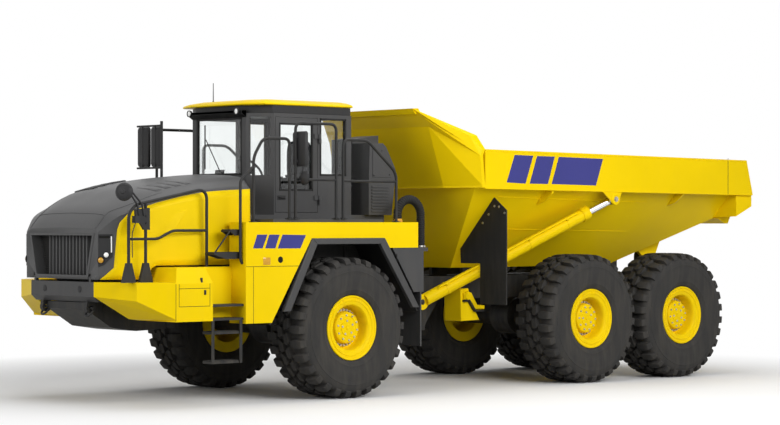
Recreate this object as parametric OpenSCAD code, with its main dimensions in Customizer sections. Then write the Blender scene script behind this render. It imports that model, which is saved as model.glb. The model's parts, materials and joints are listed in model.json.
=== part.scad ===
// Articulated dump truck: six wheels, two units joined by a steering and rolling hitch, tipping body.
// Millimetres. X forward, Y to the left, Z up, ground at Z 0.

/* [Running gear] */
// Front axle ahead of the middle of the truck
front_axle_x = 2440; // [2400:5:2480]
// Front axle to middle axle
wheelbase = 4615; // [4580:5:4700]
// Middle axle to rear axle
tandem = 1987; // [1930:1:2040]
// Wheel centre to wheel centre across an axle
track = 2690; // [2670:5:2720]
// Tyre diameter over the lugs
tyre_d = 1875; // [1840:5:1900]
// Tyre section width
tyre_w = 750; // [720:5:770]
// Tread width over the lugs
tread_w = 640; // [600:5:660]
// Rim flange diameter
flange_d = 864; // [850:2:880]
// Diameter that the tyre beads sit on
seat_d = 636; // [620:2:650]
// Width between the rim flanges
seat_w = 600; // [580:2:620]
// Diameter of the planetary hub
hub_d = 420; // [380:5:460]
// Spindle diameter
spindle_d = 200; // [180:5:220]
// Axle tube diameter
axle_tube_d = 280; // [260:5:300]
// Differential housing diameter
diff_d = 540; // [500:5:580]

/* [Front chassis] */
// Inner gap between the front rails
front_rail_gap = 660; // [640:5:700]
// Width of one front rail
front_rail_w = 120; // [100:5:140]
// Height of the front rails' underside
front_rail_z = 1180; // [1160:5:1200]
// Depth of the front rails
front_rail_h = 300; // [260:5:320]
// Front end of the rails behind the hood's nose
rail_set = 330; // [300:5:360]

/* [Hitch] */
// Steering pivot behind the front axle
hitch_back = 1550; // [1530:5:1580]
// Height of the rolling shaft
hitch_z = 1050; // [1030:5:1070]
// Steering pin diameter
steer_pin_d = 140; // [120:5:160]
// Hitch block diameter
hitch_block_d = 340; // [320:5:350]
// Rolling shaft diameter
roll_shaft_d = 300; // [260:5:320]
// Height of the hitch block
hitch_block_h = 530; // [500:5:560]
// Thickness of the hitch ears on the front chassis
ear_t = 80; // [60:5:100]
// Steering lug ahead of the pivot
steer_base_x = 850; // [830:5:870]
// Steering lug off the centre line
steer_base_y = 560; // [550:5:580]
// Steering arm behind the pivot
steer_arm_x = 320; // [310:5:330]
// Steering arm off the centre line
steer_arm_y = 400; // [390:5:410]
// Steering cylinder barrel diameter
steer_barrel_d = 110; // [100:5:120]
// Steering cylinder rod diameter
steer_rod_d = 64; // [56:2:70]

/* [Hood] */
// Foremost face of the hood ahead of the front axle
hood_nose = 3480; // [3460:5:3500]
// Rear edge of the hood ahead of the front axle
hood_back = 1340; // [1320:5:1360]
// Bottom of the hood at the nose
hood_bottom_z = 1615; // [1610:5:1630]
// Bottom of the hood over the side boxes
hood_side_z = 1790; // [1785:5:1810]
// Thickness of the hood panels
hood_t = 30; // [25:1:40]
// Top of the grille opening
grille_top_z = 2200; // [2150:5:2230]
// Half width of the grille opening at its top
grille_top_y = 660; // [600:5:680]
// Half width of the grille opening at its foot
grille_foot_y = 545; // [500:5:580]

/* [Front bodywork] */
// Half width over the bumper wings, boxes and fenders
body_y = 1600; // [1580:5:1620]
// Bumper's front face behind the hood's nose
bumper_set = 5; // [0:1:15]
// Half width of the bumper's middle panel
bumper_mid_y = 710; // [680:5:740]
// Top of the bumper and wings
bumper_top_z = 1585; // [1575:5:1600]
// Seam between a wing and its side box ahead of the front axle
box_front = 2850; // [2830:5:2870]
// Rear of the side box ahead of the front axle
box_back = 2270; // [2250:5:2290]
// Top of the side box
box_top_z = 1770; // [1760:5:1780]
// Front of the fender ahead of the front axle
fender_front = 1740; // [1720:5:1760]
// Rear of the fender behind the front axle
fender_back = 1250; // [1230:5:1270]
// Top of the fender deck
deck_z = 2340; // [2330:5:2350]
// Thickness of the fender sheet
sheet_t = 40; // [30:1:50]

/* [Cab] */
// Windscreen ahead of the front axle
cab_front = 940; // [920:5:960]
// Rear wall behind the front axle
cab_back = 660; // [640:5:680]
// Half width of the cab
cab_y = 885; // [870:5:900]
// Half width of the flat windscreen with its posts
screen_y = 590; // [570:5:610]
// Where the angled corner meets the side, ahead of the front axle
corner_x = 700; // [690:5:720]
// Top of the cab floor
cab_floor_z = 2440; // [2430:5:2460]
// Window sill
sill_z = 2970; // [2950:5:3000]
// Top of the windows
window_top_z = 3750; // [3720:5:3760]
// Underside of the roof
roof_z = 3800; // [3790:5:3820]
// Top of the roof
roof_top_z = 3985; // [3960:5:4000]
// Wall thickness of the cab
cab_t = 60; // [50:5:70]
// Door width
door_w = 740; // [720:5:750]
// Gap around the door
door_gap = 6; // [5:1:8]
// Glass thickness
glass_t = 12; // [8:1:16]

/* [Rear chassis] */
// Inner gap between the rear rails
rear_rail_gap = 600; // [580:5:620]
// Width of one rear rail
rear_rail_w = 130; // [110:5:140]
// Height of the rear rails' underside
rear_rail_z = 1230; // [1220:5:1240]
// Top of the rear rails
rear_rail_top_z = 1560; // [1540:5:1570]
// Height of the dump pivot
dump_z = 1800; // [1790:5:1820]
// Dump pivot behind the middle axle
dump_back = 2535; // [2520:5:2560]
// Dump pin diameter
dump_pin_d = 120; // [100:5:130]

/* [Bed] */
// Half width over the bed's top rails
bed_y = 1600; // [1590:5:1620]
// Width of a top rail
rail_w = 190; // [180:5:200]
// Underside of the top rails
rail_z = 2825; // [2815:5:2835]
// Height of the bed's top rail
rail_h = 540; // [500:5:560]
// Outer face of the sloping wall where it meets the rail
wall_top_y = 1470; // [1460:5:1480]
// How far a wall leans out for each millimetre of height
wall_lean = 0.95; // [0.93:0.01:0.96]
// Thickness of the bed's walls and floor
bed_t = 50; // [40:5:60]
// Underside of the bed floor
bed_floor_z = 1680; // [1675:5:1690]
// Front foot of the bed ahead of the middle axle
bed_foot = 1615; // [1600:5:1630]
// Front of the bed under the headboard, ahead of the middle axle
bed_ledge = 2165; // [2150:5:2180]
// Where the floor starts to rise, behind the middle axle
ramp_start = 1685; // [1670:5:1700]
// Slope of the rising floor
ramp_angle = 23; // [22:0.5:24]
// Tail of the bed behind the middle axle
bed_tail = 3755; // [3740:5:3770]
// Tail of the top rails behind the middle axle
rail_tail = 3640; // [3620:5:3660]
// Front end of the top rails ahead of the middle axle
rail_front = 2090; // [2080:5:2100]
// How much lower the top rails lie at the tail than at the front
rail_drop = 60; // [40:5:80]

/* [Hoist] */
// Hoist base ahead of the middle axle
hoist_base_x = 2495; // [2490:1:2500]
// Hoist base off the centre line
hoist_base_y = 700; // [695:1:705]
// Hoist base height
hoist_base_z = 1210; // [1205:1:1215]
// Hoist eye behind the middle axle
hoist_eye_x = 585; // [580:1:590]
// Hoist eye off the centre line
hoist_eye_y = 1520; // [1515:1:1525]
// Hoist eye height
hoist_eye_z = 2680; // [2675:1:2685]
// Hoist barrel diameter
hoist_barrel_d = 180; // [170:2:190]
// Hoist rod diameter
hoist_rod_d = 110; // [100:2:120]

/* [Clearances] */
// Running clearance on the radius of a pin
pin_gap = 0.08; // [0.05:0.01:0.1]
// Gap between round faces that sit in each other
seat_gap = 0.3; // [0.2:0.05:0.4]
// Gap between pieces that move past each other
swing_gap = 6; // [5:1:10]

/* [Hidden] */
mid_x = front_axle_x - wheelbase;
rear_x = mid_x - tandem;
axle_z = tyre_d/2;
hitch_x = front_axle_x - hitch_back;
wheel_y = track/2;
bumper_nose = hood_nose - bumper_set;
bumper_back = bumper_nose - 275;
front_rail_nose = hood_nose - rail_set;
rail_top_z = rail_z + rail_h;
front_rail_in = front_rail_gap/2;
front_rail_out = front_rail_in + front_rail_w;
front_rail_top = front_rail_z + front_rail_h;
// Hood hinge ahead of the front axle, its height and the pin's radius
hinge_x = hood_nose - 25;
hinge_z = hood_bottom_z + 20;
hinge_pin_r = 12;
// Handrail tube and the front post's place
rail_d = 40;
post_x = bumper_nose - 145;
rear_rail_in = rear_rail_gap/2;
rear_rail_out = rear_rail_in + rear_rail_w;
ear_top_z = hitch_z + hitch_block_h/2 + swing_gap;
ear_low_z = hitch_z - hitch_block_h/2 - swing_gap;
block_r = hitch_block_d/2;
shaft_r = roll_shaft_d/2;
ramp = tan(ramp_angle);
dump_x = mid_x - dump_back;
spindle_r = spindle_d/2;
hub_in = 150;
$fa = 4;
$fs = 6;

// Height of the bed floor's underside at a distance ahead of the middle axle
function floor_z(x) = bed_floor_z + max(0, -ramp_start - x)*ramp;
// Outer face of the sloping bed wall at a height
function wall_y(z) = wall_top_y - wall_lean*(rail_z - z);
// Front face of the lower bed at a height, ahead of the middle axle
function front_face(z) = bed_foot + (bed_ledge - bed_foot)*(z - bed_floor_z)/(rail_z - bed_floor_z);

yellow = [0.98, 0.80, 0.02];
gray = [0.30, 0.30, 0.30];
black = [0.10, 0.10, 0.10];

// Outline in Y and Z, run along X
module along_x(x0, x1, outline) {
  translate([x0, 0, 0])
    rotate([90, 0, 90])
      linear_extrude(x1 - x0)
        polygon(outline);
}

// Outline in X and Z, run along Y
module along_y(y0, y1, outline) {
  translate([0, y1, 0])
    rotate([90, 0, 0])
      linear_extrude(y1 - y0)
        polygon(outline);
}

// Outline in X and Y, run up Z
module along_z(z0, z1, outline) {
  translate([0, 0, z0])
    linear_extrude(z1 - z0)
      polygon(outline);
}

module block(x, y, z) {
  translate([x[0], y[0], z[0]])
    cube([x[1] - x[0], y[1] - y[0], z[1] - z[0]]);
}

module both_sides() {
  children();
  mirror([0, 1, 0])
    children();
}

module right_side() {
  mirror([0, 1, 0])
    children();
}

// Round bar along Y, centred on a point in X and Z
module bar_y(x, z, y0, y1, r) {
  translate([x, y0, z])
    rotate([-90, 0, 0])
      cylinder(h = y1 - y0, r = r);
}

// Round bar along X, centred on a point in Y and Z
module bar_x(y, z, x0, x1, r) {
  translate([x0, y, z])
    rotate([0, 90, 0])
      cylinder(h = x1 - x0, r = r);
}

// Round bar up Z, centred on a point in X and Y
module bar_z(x, y, z0, z1, r) {
  translate([x, y, z0])
    cylinder(h = z1 - z0, r = r);
}

// Turns what is built along Z to point from a towards b, and moves it to a
module aim(a, b) {
  v = b - a;
  translate(a)
    rotate([0, acos(v[2]/norm(v)), atan2(v[1], v[0])])
      children();
}

// Eight-sided tube through points, its ends carried past each bend by the tube's radius
module tube(points, d) {
  for (i = [0 : len(points) - 2])
    aim(points[i], points[i + 1])
      translate([0, 0, i == 0 ? 0 : -0.42*d])
        cylinder(h = norm(points[i + 1] - points[i]) + (i == 0 ? 0 : 0.42*d)
          + (i == len(points) - 2 ? 0 : 0.42*d), d = d, $fn = 8);
}

module front_unit() {
  translate([front_axle_x, 0, 0])
    children();
}

module rear_unit() {
  translate([mid_x, 0, 0])
    children();
}

module front_chassis() {
  wall_x = -hitch_back + 500;
  color(black)
  front_unit() {
    both_sides()
      block([wall_x, front_rail_nose], [front_rail_in, front_rail_out], [front_rail_z, front_rail_top]);
    for (x = [front_rail_nose - 100, front_rail_nose - 250, 1250, 300])
      block([x, x + 100], [-front_rail_in, front_rail_in], [front_rail_z, front_rail_z + 60]);
    block([wall_x, wall_x + 100], [-280, 280], [ear_low_z - ear_t, front_rail_z]);
    block([wall_x, wall_x + 100], [-front_rail_out, front_rail_out], [front_rail_z, front_rail_top]);
    block([wall_x + 100, -450], [-260, 260], [ear_low_z - ear_t, ear_low_z]);
    for (z = [ear_top_z, ear_low_z - ear_t]) {
      block([-hitch_back, wall_x + 20], [-185, 185], [z, z + ear_t]);
      bar_z(-hitch_back, 0, z, z + ear_t, 200);
    }
    bar_z(-hitch_back, 0, ear_top_z - 150, ear_top_z + ear_t + 20, steer_pin_d/2);
    bar_z(-hitch_back, 0, ear_low_z - ear_t - 20, ear_low_z + 150, steer_pin_d/2);
    both_sides() {
      block([-hitch_back + steer_base_x - 80, -hitch_back + steer_base_x + 80],
        [front_rail_out, steer_base_y + 80], [front_rail_z, front_rail_z + 60]);
      bar_z(-hitch_back + steer_base_x, steer_base_y, hitch_z - 60, front_rail_z, 30);
    }
    along_y(-front_rail_out + 10, front_rail_out - 10, [[hood_nose - 80, 1320], [hood_nose - 80, 1230],
      [hood_nose - 460, 990], [hood_nose - 850, 935], [hood_nose - 1330, 950], [hood_nose - 1330, 990],
      [hood_nose - 850, 975], [front_rail_nose - 120, 1030], [front_rail_nose - 60, 1190],
      [front_rail_nose - 60, 1320]]);
  }
}

module spindle_axle(x) {
  end_y = wheel_y - hub_in - 12;
  translate([x, 0, axle_z]) {
    rotate([-90, 0, 0]) {
      translate([0, 0, -end_y])
        cylinder(h = 2*end_y, d = axle_tube_d);
      translate([0, 0, -wheel_y - hub_in + 2])
        cylinder(h = 2*(wheel_y + hub_in - 2), d = spindle_d);
      translate([0, 0, -190])
        cylinder(h = 380, d = diff_d);
    }
  }
}

module front_axle() {
  color(black) {
    spindle_axle(front_axle_x);
    both_sides()
      block([front_axle_x - 130, front_axle_x + 130], [front_rail_in, front_rail_out],
        [axle_z, front_rail_z]);
  }
}

module rear_axles() {
  color(black)
    for (x = [mid_x, rear_x]) {
      spindle_axle(x);
      both_sides()
        block([x - 130, x + 130], [rear_rail_in, rear_rail_out], [axle_z, rear_rail_z]);
    }
}

module engine_block() {
  color(gray)
  front_unit() {
    block([hood_back + 160, front_rail_nose - 450], [-300, 300], [1260, 2380]);
    both_sides()
      for (x = [hood_back + 310, front_rail_nose - 700])
        block([x, x + 120], [300, front_rail_in], [front_rail_top - 150, front_rail_top - 50]);
  }
}

module radiator() {
  color(black)
  front_unit()
    block([front_rail_nose - 190, front_rail_nose], [-600, 600], [front_rail_top, 2280]);
}

// Front bodywork

module bumper_middle() {
  color(gray)
  front_unit() {
    along_y(-bumper_mid_y, bumper_mid_y, [[bumper_nose, 1400], [bumper_nose, bumper_top_z],
      [bumper_back, bumper_top_z], [bumper_back, 1330], [bumper_nose - 75, 1330]]);
    both_sides()
      block([front_rail_nose, bumper_back], [front_rail_in, front_rail_out], [1340, front_rail_top]);
    both_sides() {
      block([hinge_x - 24, hinge_x + 18], [600, 640], [bumper_top_z, hinge_z]);
      bar_y(hinge_x, hinge_z, 600, 640, 24);
      bar_y(hinge_x, hinge_z, 540, 601, hinge_pin_r);
    }
  }
}

module tow_eyes() {
  color(black)
  front_unit()
    both_sides()
      difference() {
        union() {
          block([bumper_nose - 145, bumper_nose - 25], [470, 530], [1250, 1330]);
          bar_y(bumper_nose - 85, 1250, 470, 530, 70);
        }
        bar_y(bumper_nose - 85, 1250, 460, 540, 32);
      }
}

module bumper_wings() {
  wing_l = bumper_nose - box_front;
  bend_x = box_front + 0.624*wing_l;
  foot_x = box_front + 0.24*wing_l;
  color(yellow)
  front_unit()
    both_sides()
      hull() {
        along_z(bumper_top_z - 1, bumper_top_z, [[bumper_nose, bumper_mid_y], [bend_x, 1310],
          [box_front, body_y], [box_front, 800], [bumper_back, bumper_mid_y]]);
        block([bumper_nose - 1, bumper_nose], [bumper_mid_y, bumper_mid_y + 1], [1400, 1401]);
        block([bend_x - 1, bend_x], [1309, 1310], [1350, 1351]);
        block([box_front, box_front + 1], [body_y - 1, body_y], [1120, 1121]);
        block([box_front, box_front + 1], [800, 801], [1090, 1091]);
        block([foot_x, foot_x + 1], [bumper_mid_y + 90, bumper_mid_y + 91], [1110, 1111]);
      }
}

module side_boxes() {
  color(yellow)
  front_unit()
    both_sides() {
      hull() {
        block([box_back, box_front], [800, body_y], [1090, 1570]);
        block([box_back + 70, box_front - 60], [800, body_y - 70], [1570, box_top_z]);
      }
      block([box_back + 30, box_front], [front_rail_out, 800], [1230, 1420]);
    }
}

module steps() {
  out_y = body_y - 45;
  color(black)
  front_unit() {
    for (x = [1760, 2210])
      block([x, x + 40], [out_y - 15, out_y], [540, 1090]);
    for (z = [540, 915])
      block([1760, 2250], [out_y - 195, out_y - 15], [z, z + 30]);
    both_sides() {
      block([fender_front, box_back], [out_y - 215, out_y], [1090, 1120]);
      block([fender_front, box_back], [out_y - 215, out_y], [1265, 1295]);
    }
    block([fender_front, fender_front + 170], [1300, 1500], [2215, 2240]);
    block([fender_front, fender_front + 430], [1300, 1500], [1925, 1950]);
  }
}

// Outline of the front wheel arch in X and Z, grown outward by g
function arch(g) = [[1330 + g, 1010], [640 + 0.7*g, 2130 + g], [-630 - 0.7*g, 2130 + g], [-1290 - g, 1130]];

module fenders() {
  color(yellow)
  front_unit()
    both_sides() {
      difference() {
        along_y(body_y - sheet_t, body_y, [[fender_front, 1040], [fender_front, deck_z],
          [-fender_back, deck_z], [-fender_back, 1995], [-1000, 1995], [-700, 1995], [1000, 1040]]);
        along_y(body_y - sheet_t - 1, body_y + 1, concat(arch(0), [[-1290, 900], [1330, 900]]));
      }
      difference() {
        block([-fender_back, fender_front], [960, body_y - sheet_t], [deck_z - sheet_t, deck_z]);
        block([fender_front - 500, fender_front + 1], [950, 1260], [deck_z - sheet_t - 1, deck_z + 1]);
      }
      block([fender_front - sheet_t, fender_front], [1260, body_y - sheet_t], [1040, deck_z - sheet_t]);
      block([-fender_back, -fender_back + sheet_t], [960, body_y - sheet_t], [1995, deck_z - sheet_t]);
      block([fender_front, box_back], [1260, 1300], [1120, box_top_z]);
    }
}

module arch_liners() {
  color(black)
  front_unit()
    both_sides()
      difference() {
        along_y(960, body_y - sheet_t, arch(0));
        along_y(950, body_y + 1, concat(arch(-30), [[-1260, 900], [1300, 900]]));
      }
}

module rear_tanks() {
  color(gray)
  front_unit() {
    block([-fender_back - 2*hose_bend, -1359], [hose_y - 80, hose_y + 80], [hose_foot - 50, hose_foot]);
    both_sides() {
      along_y(960, body_y - 10, [[-790, 1995], [-1360, 1995], [-1360, 1390], [-1180, 1390]]);
      block([-1320, -1296], [960, body_y - 10], [650, 1390]);
      along_x(-1000, -900, [[front_rail_in, front_rail_top], [front_rail_out, front_rail_top],
        [front_rail_out, 1900], [960, 1900], [960, 1960], [front_rail_in, 1960]]);
    }
  }
}

module deck_floor() {
  color(gray)
  front_unit() {
    along_z(deck_z, cab_floor_z, [[1300, -960], [1300, 960], [-cab_back, 960], [-cab_back, -960]]);
    both_sides()
      block([-cab_back, 1240], [960, body_y - 60], [deck_z, deck_z + 40]);
    both_sides()
      for (x = [1000, -600])
        block([x, x + 120], [front_rail_in, front_rail_out], [front_rail_top, deck_z]);
  }
}

// Cab

door_back = corner_x - 20 - door_w;
door_hinge_x = door_back - 15;
door_hinge_y = cab_y + 25;
hinge_zs = [cab_floor_z + 200, sill_z + 500];
cab_nx = (cab_y - screen_y)/norm([cab_y - screen_y, cab_front - corner_x]);
cab_ny = (cab_front - corner_x)/norm([cab_y - screen_y, cab_front - corner_x]);

// Plan of the cab, set in from its outer faces by g
function cab_plan(g) = let(
    reach = cab_nx*cab_front + cab_ny*screen_y - g,
    fy = (reach - cab_nx*(cab_front - g))/cab_ny,
    sx = (reach - cab_ny*(cab_y - g))/cab_nx)
  [[cab_front - g, -fy], [cab_front - g, fy], [sx, cab_y - g], [-cab_back + g, cab_y - g],
   [-cab_back + g, -cab_y + g], [sx, -cab_y + g]];

module corner_window() {
  for (s = [-1, 1])
    translate([(cab_front + corner_x)/2, s*(screen_y + cab_y)/2, 0])
      rotate([0, 0, s*atan2(cab_ny, cab_nx)])
        translate([-200, -140, sill_z])
          cube([300, 280, window_top_z - sill_z]);
}

module cab_openings() {
  block([cab_front - 100, cab_front + 50], [-screen_y + 90, screen_y - 90], [sill_z, window_top_z]);
  corner_window();
  block([-cab_back - 50, -cab_back + 100], [-cab_y + 110, cab_y - 110], [sill_z, window_top_z]);
  both_sides()
    block([-cab_back + 90, corner_x - door_w - 60], [cab_y - 100, cab_y + 50], [sill_z, window_top_z]);
  right_side()
    block([corner_x - door_w, corner_x - 60], [cab_y - 100, cab_y + 50], [sill_z - 200, window_top_z]);
  block([corner_x - 20 - door_w, corner_x - 20], [cab_y - 100, cab_y + 50], [cab_floor_z + 30, window_top_z]);
}

module cab_shell() {
  color(gray)
  front_unit() {
    difference() {
      along_z(cab_floor_z, roof_z, cab_plan(0));
      along_z(cab_floor_z - 1, roof_z + 1, cab_plan(cab_t));
      cab_openings();
    }
    for (z = hinge_zs) {
      block([door_hinge_x - 25, door_hinge_x + 12], [cab_y - 1, door_hinge_y + 12], [z - 60, z - swing_gap]);
      bar_z(door_hinge_x, door_hinge_y, z - 10, z + 60, 12);
    }
  }
}

module cab_glass() {
  color([0.25, 0.3, 0.32])
  front_unit()
    intersection() {
      difference() {
        along_z(sill_z - 200, window_top_z, cab_plan(24));
        along_z(sill_z - 201, window_top_z + 1, cab_plan(24 + glass_t));
        block([corner_x - 20 - door_w, corner_x - 20], [cab_y - 100, cab_y + 50],
          [cab_floor_z, window_top_z + 1]);
      }
      cab_openings();
    }
}

module cab_roof() {
  color(yellow)
  front_unit() {
    hull() {
      along_z(roof_z + 85, roof_z + 120, [[1000, -560], [1000, 560], [870, 910], [-cab_back - 10, 910],
        [-cab_back - 10, -910], [870, -910]]);
      along_z(roof_top_z - 1, roof_top_z, [[820, -480], [820, 480], [720, 760], [-cab_back + 120, 760],
        [-cab_back + 120, -760], [720, -760]]);
    }
    along_z(roof_z, roof_z + 86, cab_plan(5));
  }
}

module roof_lamps() {
  color(black)
  front_unit() {
    both_sides()
      block([cab_front + seat_gap, cab_front + 55], [440, 600], [roof_z - 45, roof_z + 40]);
    bar_z(500, -700, roof_top_z, roof_top_z + 290, 8);
  }
}

module cab_fittings() {
  color(black)
  front_unit() {
    block([-450, 50], [-250, 250], [cab_floor_z, cab_floor_z + 300]);
    block([-450, 80], [-270, 270], [cab_floor_z + 300, cab_floor_z + 430]);
    block([-520, -400], [-250, 250], [cab_floor_z + 430, cab_floor_z + 1050]);
    block([560, cab_front - cab_t], [-480, 480], [cab_floor_z, cab_floor_z + 480]);
    aim([600, 0, cab_floor_z + 440], [360, 0, cab_floor_z + 660]) {
      cylinder(h = 250, d = 60);
      translate([0, 0, 250])
        cylinder(h = 35, d = 440);
    }
  }
}

// Handrails and mirrors

module handrails() {
  y = body_y - 70;
  pole_x = box_back - 160;
  color(black)
  front_unit() {
    tube([[post_x, 1260, bumper_top_z], [post_x, 1260, 2440], [post_x - 100, 1260, 2560],
      [box_back - 70, 1260, 2760], [pole_x, 1260, 2700], [pole_x, 1260, box_top_z]], rail_d);
    tube([[post_x - 260, 1260, bumper_top_z], [post_x - 260, 1260, 2580]], rail_d);
    tube([[post_x, 1260, 2130], [pole_x, 1260, 2230]], rail_d);
    tube([[1560, y, deck_z], [1560, y, 3180], [1400, y, 3430], [960, y, 3430], [960, y, deck_z + 40]],
      rail_d);
    both_sides() {
      tube([[860, y, deck_z + 40], [860, y, 3640], [160, y, 3640], [160, y, deck_z + 40]], rail_d);
      tube([[860, y, 2900], [160, y, 2900]], rail_d);
      tube([[40, y, deck_z + 40], [40, y, 3440], [-390, y, 3440], [-910, y, 3010], [-910, y, deck_z]],
        rail_d);
      tube([[40, y, 2890], [-910, y, 2890]], rail_d);
    }
  }
}

// Round mirror on the front rail, tall and round mirrors on the left deck rail, a pair of tall ones on
// a pole on the right
module mirrors() {
  y = body_y - 70;
  back_x = 860 - rail_d/2 - seat_gap;
  color(black)
  front_unit() {
    bar_x(1290, 2720, post_x + 45, post_x + 110, 100);
    block([post_x + rail_d/2 + seat_gap, post_x + 46], [1240, 1280], [2300, 2400]);
    block([post_x + rail_d/2 + 2*swing_gap, post_x + 46], [1240, 1280], [2400, 2720]);
    block([back_x - 60, back_x], [y - 100, y + 170], [3070, 3530]);
    bar_x(y + 105, 2918, back_x - 45, back_x, 80);
    block([back_x - 40, back_x - 15], [y + 85, y + 125], [2990, 3080]);
    right_side() {
      tube([[1100, 1090, deck_z + 40], [1100, 1090, 3740]], rail_d);
      for (z = [3080, 3665])
        block([1085, 1115], [1090, 1670], [z, z + 30]);
      for (out = [1360, 1670])
        block([1040, 1090], [out - 230, out], [3100, 3680]);
    }
  }
}

// Behind the cab

module exhaust_stack() {
  color(gray)
  front_unit() {
    block([-1250, -cab_back], [-900, 900], [deck_z, cab_floor_z]);
    block([-1400, -1249], [-450, 450], [deck_z, cab_floor_z]);
    along_y(0, 450, [[-1060, cab_floor_z], [-1380, cab_floor_z], [-1380, 3400], [-1540, 3420], [-1540, 3560],
      [-1060, 3500]]);
    along_y(449, 1000, [[-880, cab_floor_z], [-1300, cab_floor_z], [-1360, 2890], [-1410, 2940],
      [-1360, 3100], [-1200, 3380], [-1140, 3430], [-900, 3430], [-880, 2890]]);
  }
}

// Hose from the fender deck over its rear edge to a shelf on the tank
hose_r = 62;
hose_y = 1250;
hose_bend = 215;
hose_foot = 1990;

module hose_arch() {
  color(black)
  front_unit()
    translate([-fender_back + hose_r + 3 - hose_bend, hose_y, deck_z]) {
      translate([0, 0, 100])
        rotate([90, 0, 0])
          rotate_extrude(angle = 180)
            translate([hose_bend, 0])
              circle(r = hose_r);
      translate([hose_bend, 0, 0])
        cylinder(h = 100, r = hose_r);
      translate([-hose_bend, 0, hose_foot - deck_z])
        cylinder(h = deck_z + 100 - hose_foot, r = hose_r);
    }
}

// Hood

// Stations ahead of the front axle: place, half width at the foot, half width and height of the side's
// top edge, half width and height of the shoulder, half width and height of the crown
hood_stations = [
  [hood_nose, 800, 800, 2165, 690, 2205, 600, 2212],
  [hood_nose - 45, 840, 840, 2215, 700, 2270, 600, 2285],
  [hood_nose - 200, 960, 950, 2400, 660, 2470, 500, 2480],
  [hood_nose - 390, 1060, 1040, 2490, 780, 2565, 500, 2600],
  [hood_nose - 780, 1150, 1120, 2610, 900, 2725, 500, 2770],
  [hood_back + 660, 1190, 1165, 2735, 950, 2860, 500, 2905],
  [hood_back, 1200, 1180, 2775, 960, 2935, 500, 2970]];

function hood_section(s, g) = [
  [-s[1] + g, hood_bottom_z - (g > 0 ? 1 : 0)], [s[1] - g, hood_bottom_z - (g > 0 ? 1 : 0)],
  [s[2] - g, s[3] - 0.5*g], [s[4] - 0.6*g, s[5] - g], [s[6], s[7] - g],
  [-s[6], s[7] - g], [-s[4] + 0.6*g, s[5] - g], [-s[2] + g, s[3] - 0.5*g]];

module hood_solid(g) {
  last = len(hood_stations) - 1;
  for (i = [0 : last - 1])
    hull() {
      a = hood_stations[i];
      b = hood_stations[i + 1];
      along_x(a[0] - g*(i == 0 ? 1 : 1.2) - 0.01, a[0] - g*(i == 0 ? 1 : 1.2), hood_section(a, g));
      along_x(b[0] - g*1.2, b[0] - g*1.2 + 0.01, hood_section(b, g));
    }
}

module hood_shell() {
  difference() {
    hood_solid(0);
    hood_solid(hood_t);
    block([hood_back - 100, box_front + 50], [-1300, 1300], [hood_bottom_z - 10, hood_side_z]);
    along_x(hood_nose - 180, hood_nose + 120, [[-grille_foot_y, 1670], [grille_foot_y, 1670], [grille_top_y, grille_top_z],
      [-grille_top_y, grille_top_z]]);
    both_sides() {
      block([hood_nose - 90, hood_nose + 120], [665, 785], [1780, 1960]);
      block([hood_nose - 60, hood_nose + 120], [534, 646], [hood_bottom_z - 10, 1697]);
    }
  }
}

// Outline of the yellow sides in X and Z
hood_side_outline = [[hood_nose, hood_bottom_z - 5], [hood_nose - 160, 1760], [hood_nose - 190, 2290],
  [hood_nose - 330, 2480], [hood_nose - 580, 2550], [hood_nose - 1030, 2665], [hood_back + 630, 2735], [hood_back - 60, 2775], [hood_back - 60, hood_bottom_z - 5]];

module hood_top() {
  color(gray)
  front_unit()
    difference() {
      hood_shell();
      both_sides()
        along_y(700, 1300, hood_side_outline);
    }
}

module hood_sides() {
  color(yellow)
  front_unit()
    intersection() {
      hood_shell();
      both_sides()
        along_y(700, 1300, hood_side_outline);
    }
}

module grille() {
  g = seat_gap;
  color(black)
  front_unit() {
    difference() {
      along_x(hood_nose - 80, hood_nose - 25, [[-grille_foot_y + g, 1670 + g], [grille_foot_y - g, 1670 + g],
        [grille_top_y - g, grille_top_z - g], [-grille_top_y + g, grille_top_z - g]]);
      for (y = [-480 : 120 : 480])
        block([hood_nose - 90, hood_nose - 10], [y - 40, y + 40], [1740, grille_top_z - 70]);
    }
    both_sides()
      difference() {
        union() {
          bar_y(hinge_x, hinge_z, 540, 594, 22);
          block([hood_nose - 70, hood_nose - hood_t - 1], [540, 594], [hinge_z + 4, 1695]);
        }
        bar_y(hinge_x, hinge_z, 530, 600, hinge_pin_r + pin_gap);
      }
  }
}

module headlamps() {
  g = seat_gap;
  color([0.8, 0.8, 0.75])
  front_unit()
    both_sides()
      block([hood_nose - 89, hood_nose - 10], [665 + g, 785 - g], [1780 + g, 1960 - g]);
}

// Door on the left

module cab_door() {
  color(gray)
  front_unit() {
    difference() {
      block([door_back + door_gap, corner_x - 20 - door_gap], [cab_y - cab_t + 5, cab_y],
        [cab_floor_z + 30 + door_gap, window_top_z - door_gap]);
      block([door_back + 80, corner_x - 90], [cab_y - cab_t - 5, cab_y + 1], [2760, window_top_z - 80]);
    }
    for (z = hinge_zs)
      difference() {
        union() {
          bar_z(door_hinge_x, door_hinge_y, z, z + 60, 24);
          block([door_hinge_x, door_back + 70], [cab_y, cab_y + 20], [z, z + 60]);
        }
        bar_z(door_hinge_x, door_hinge_y, z - 1, z + 61, 12 + pin_gap);
      }
  }
}

module door_glass() {
  color([0.25, 0.3, 0.32])
  front_unit()
    block([door_back + 80, corner_x - 90], [cab_y - 36, cab_y - 24], [2760, window_top_z - 80]);
}

// Hitch

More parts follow.
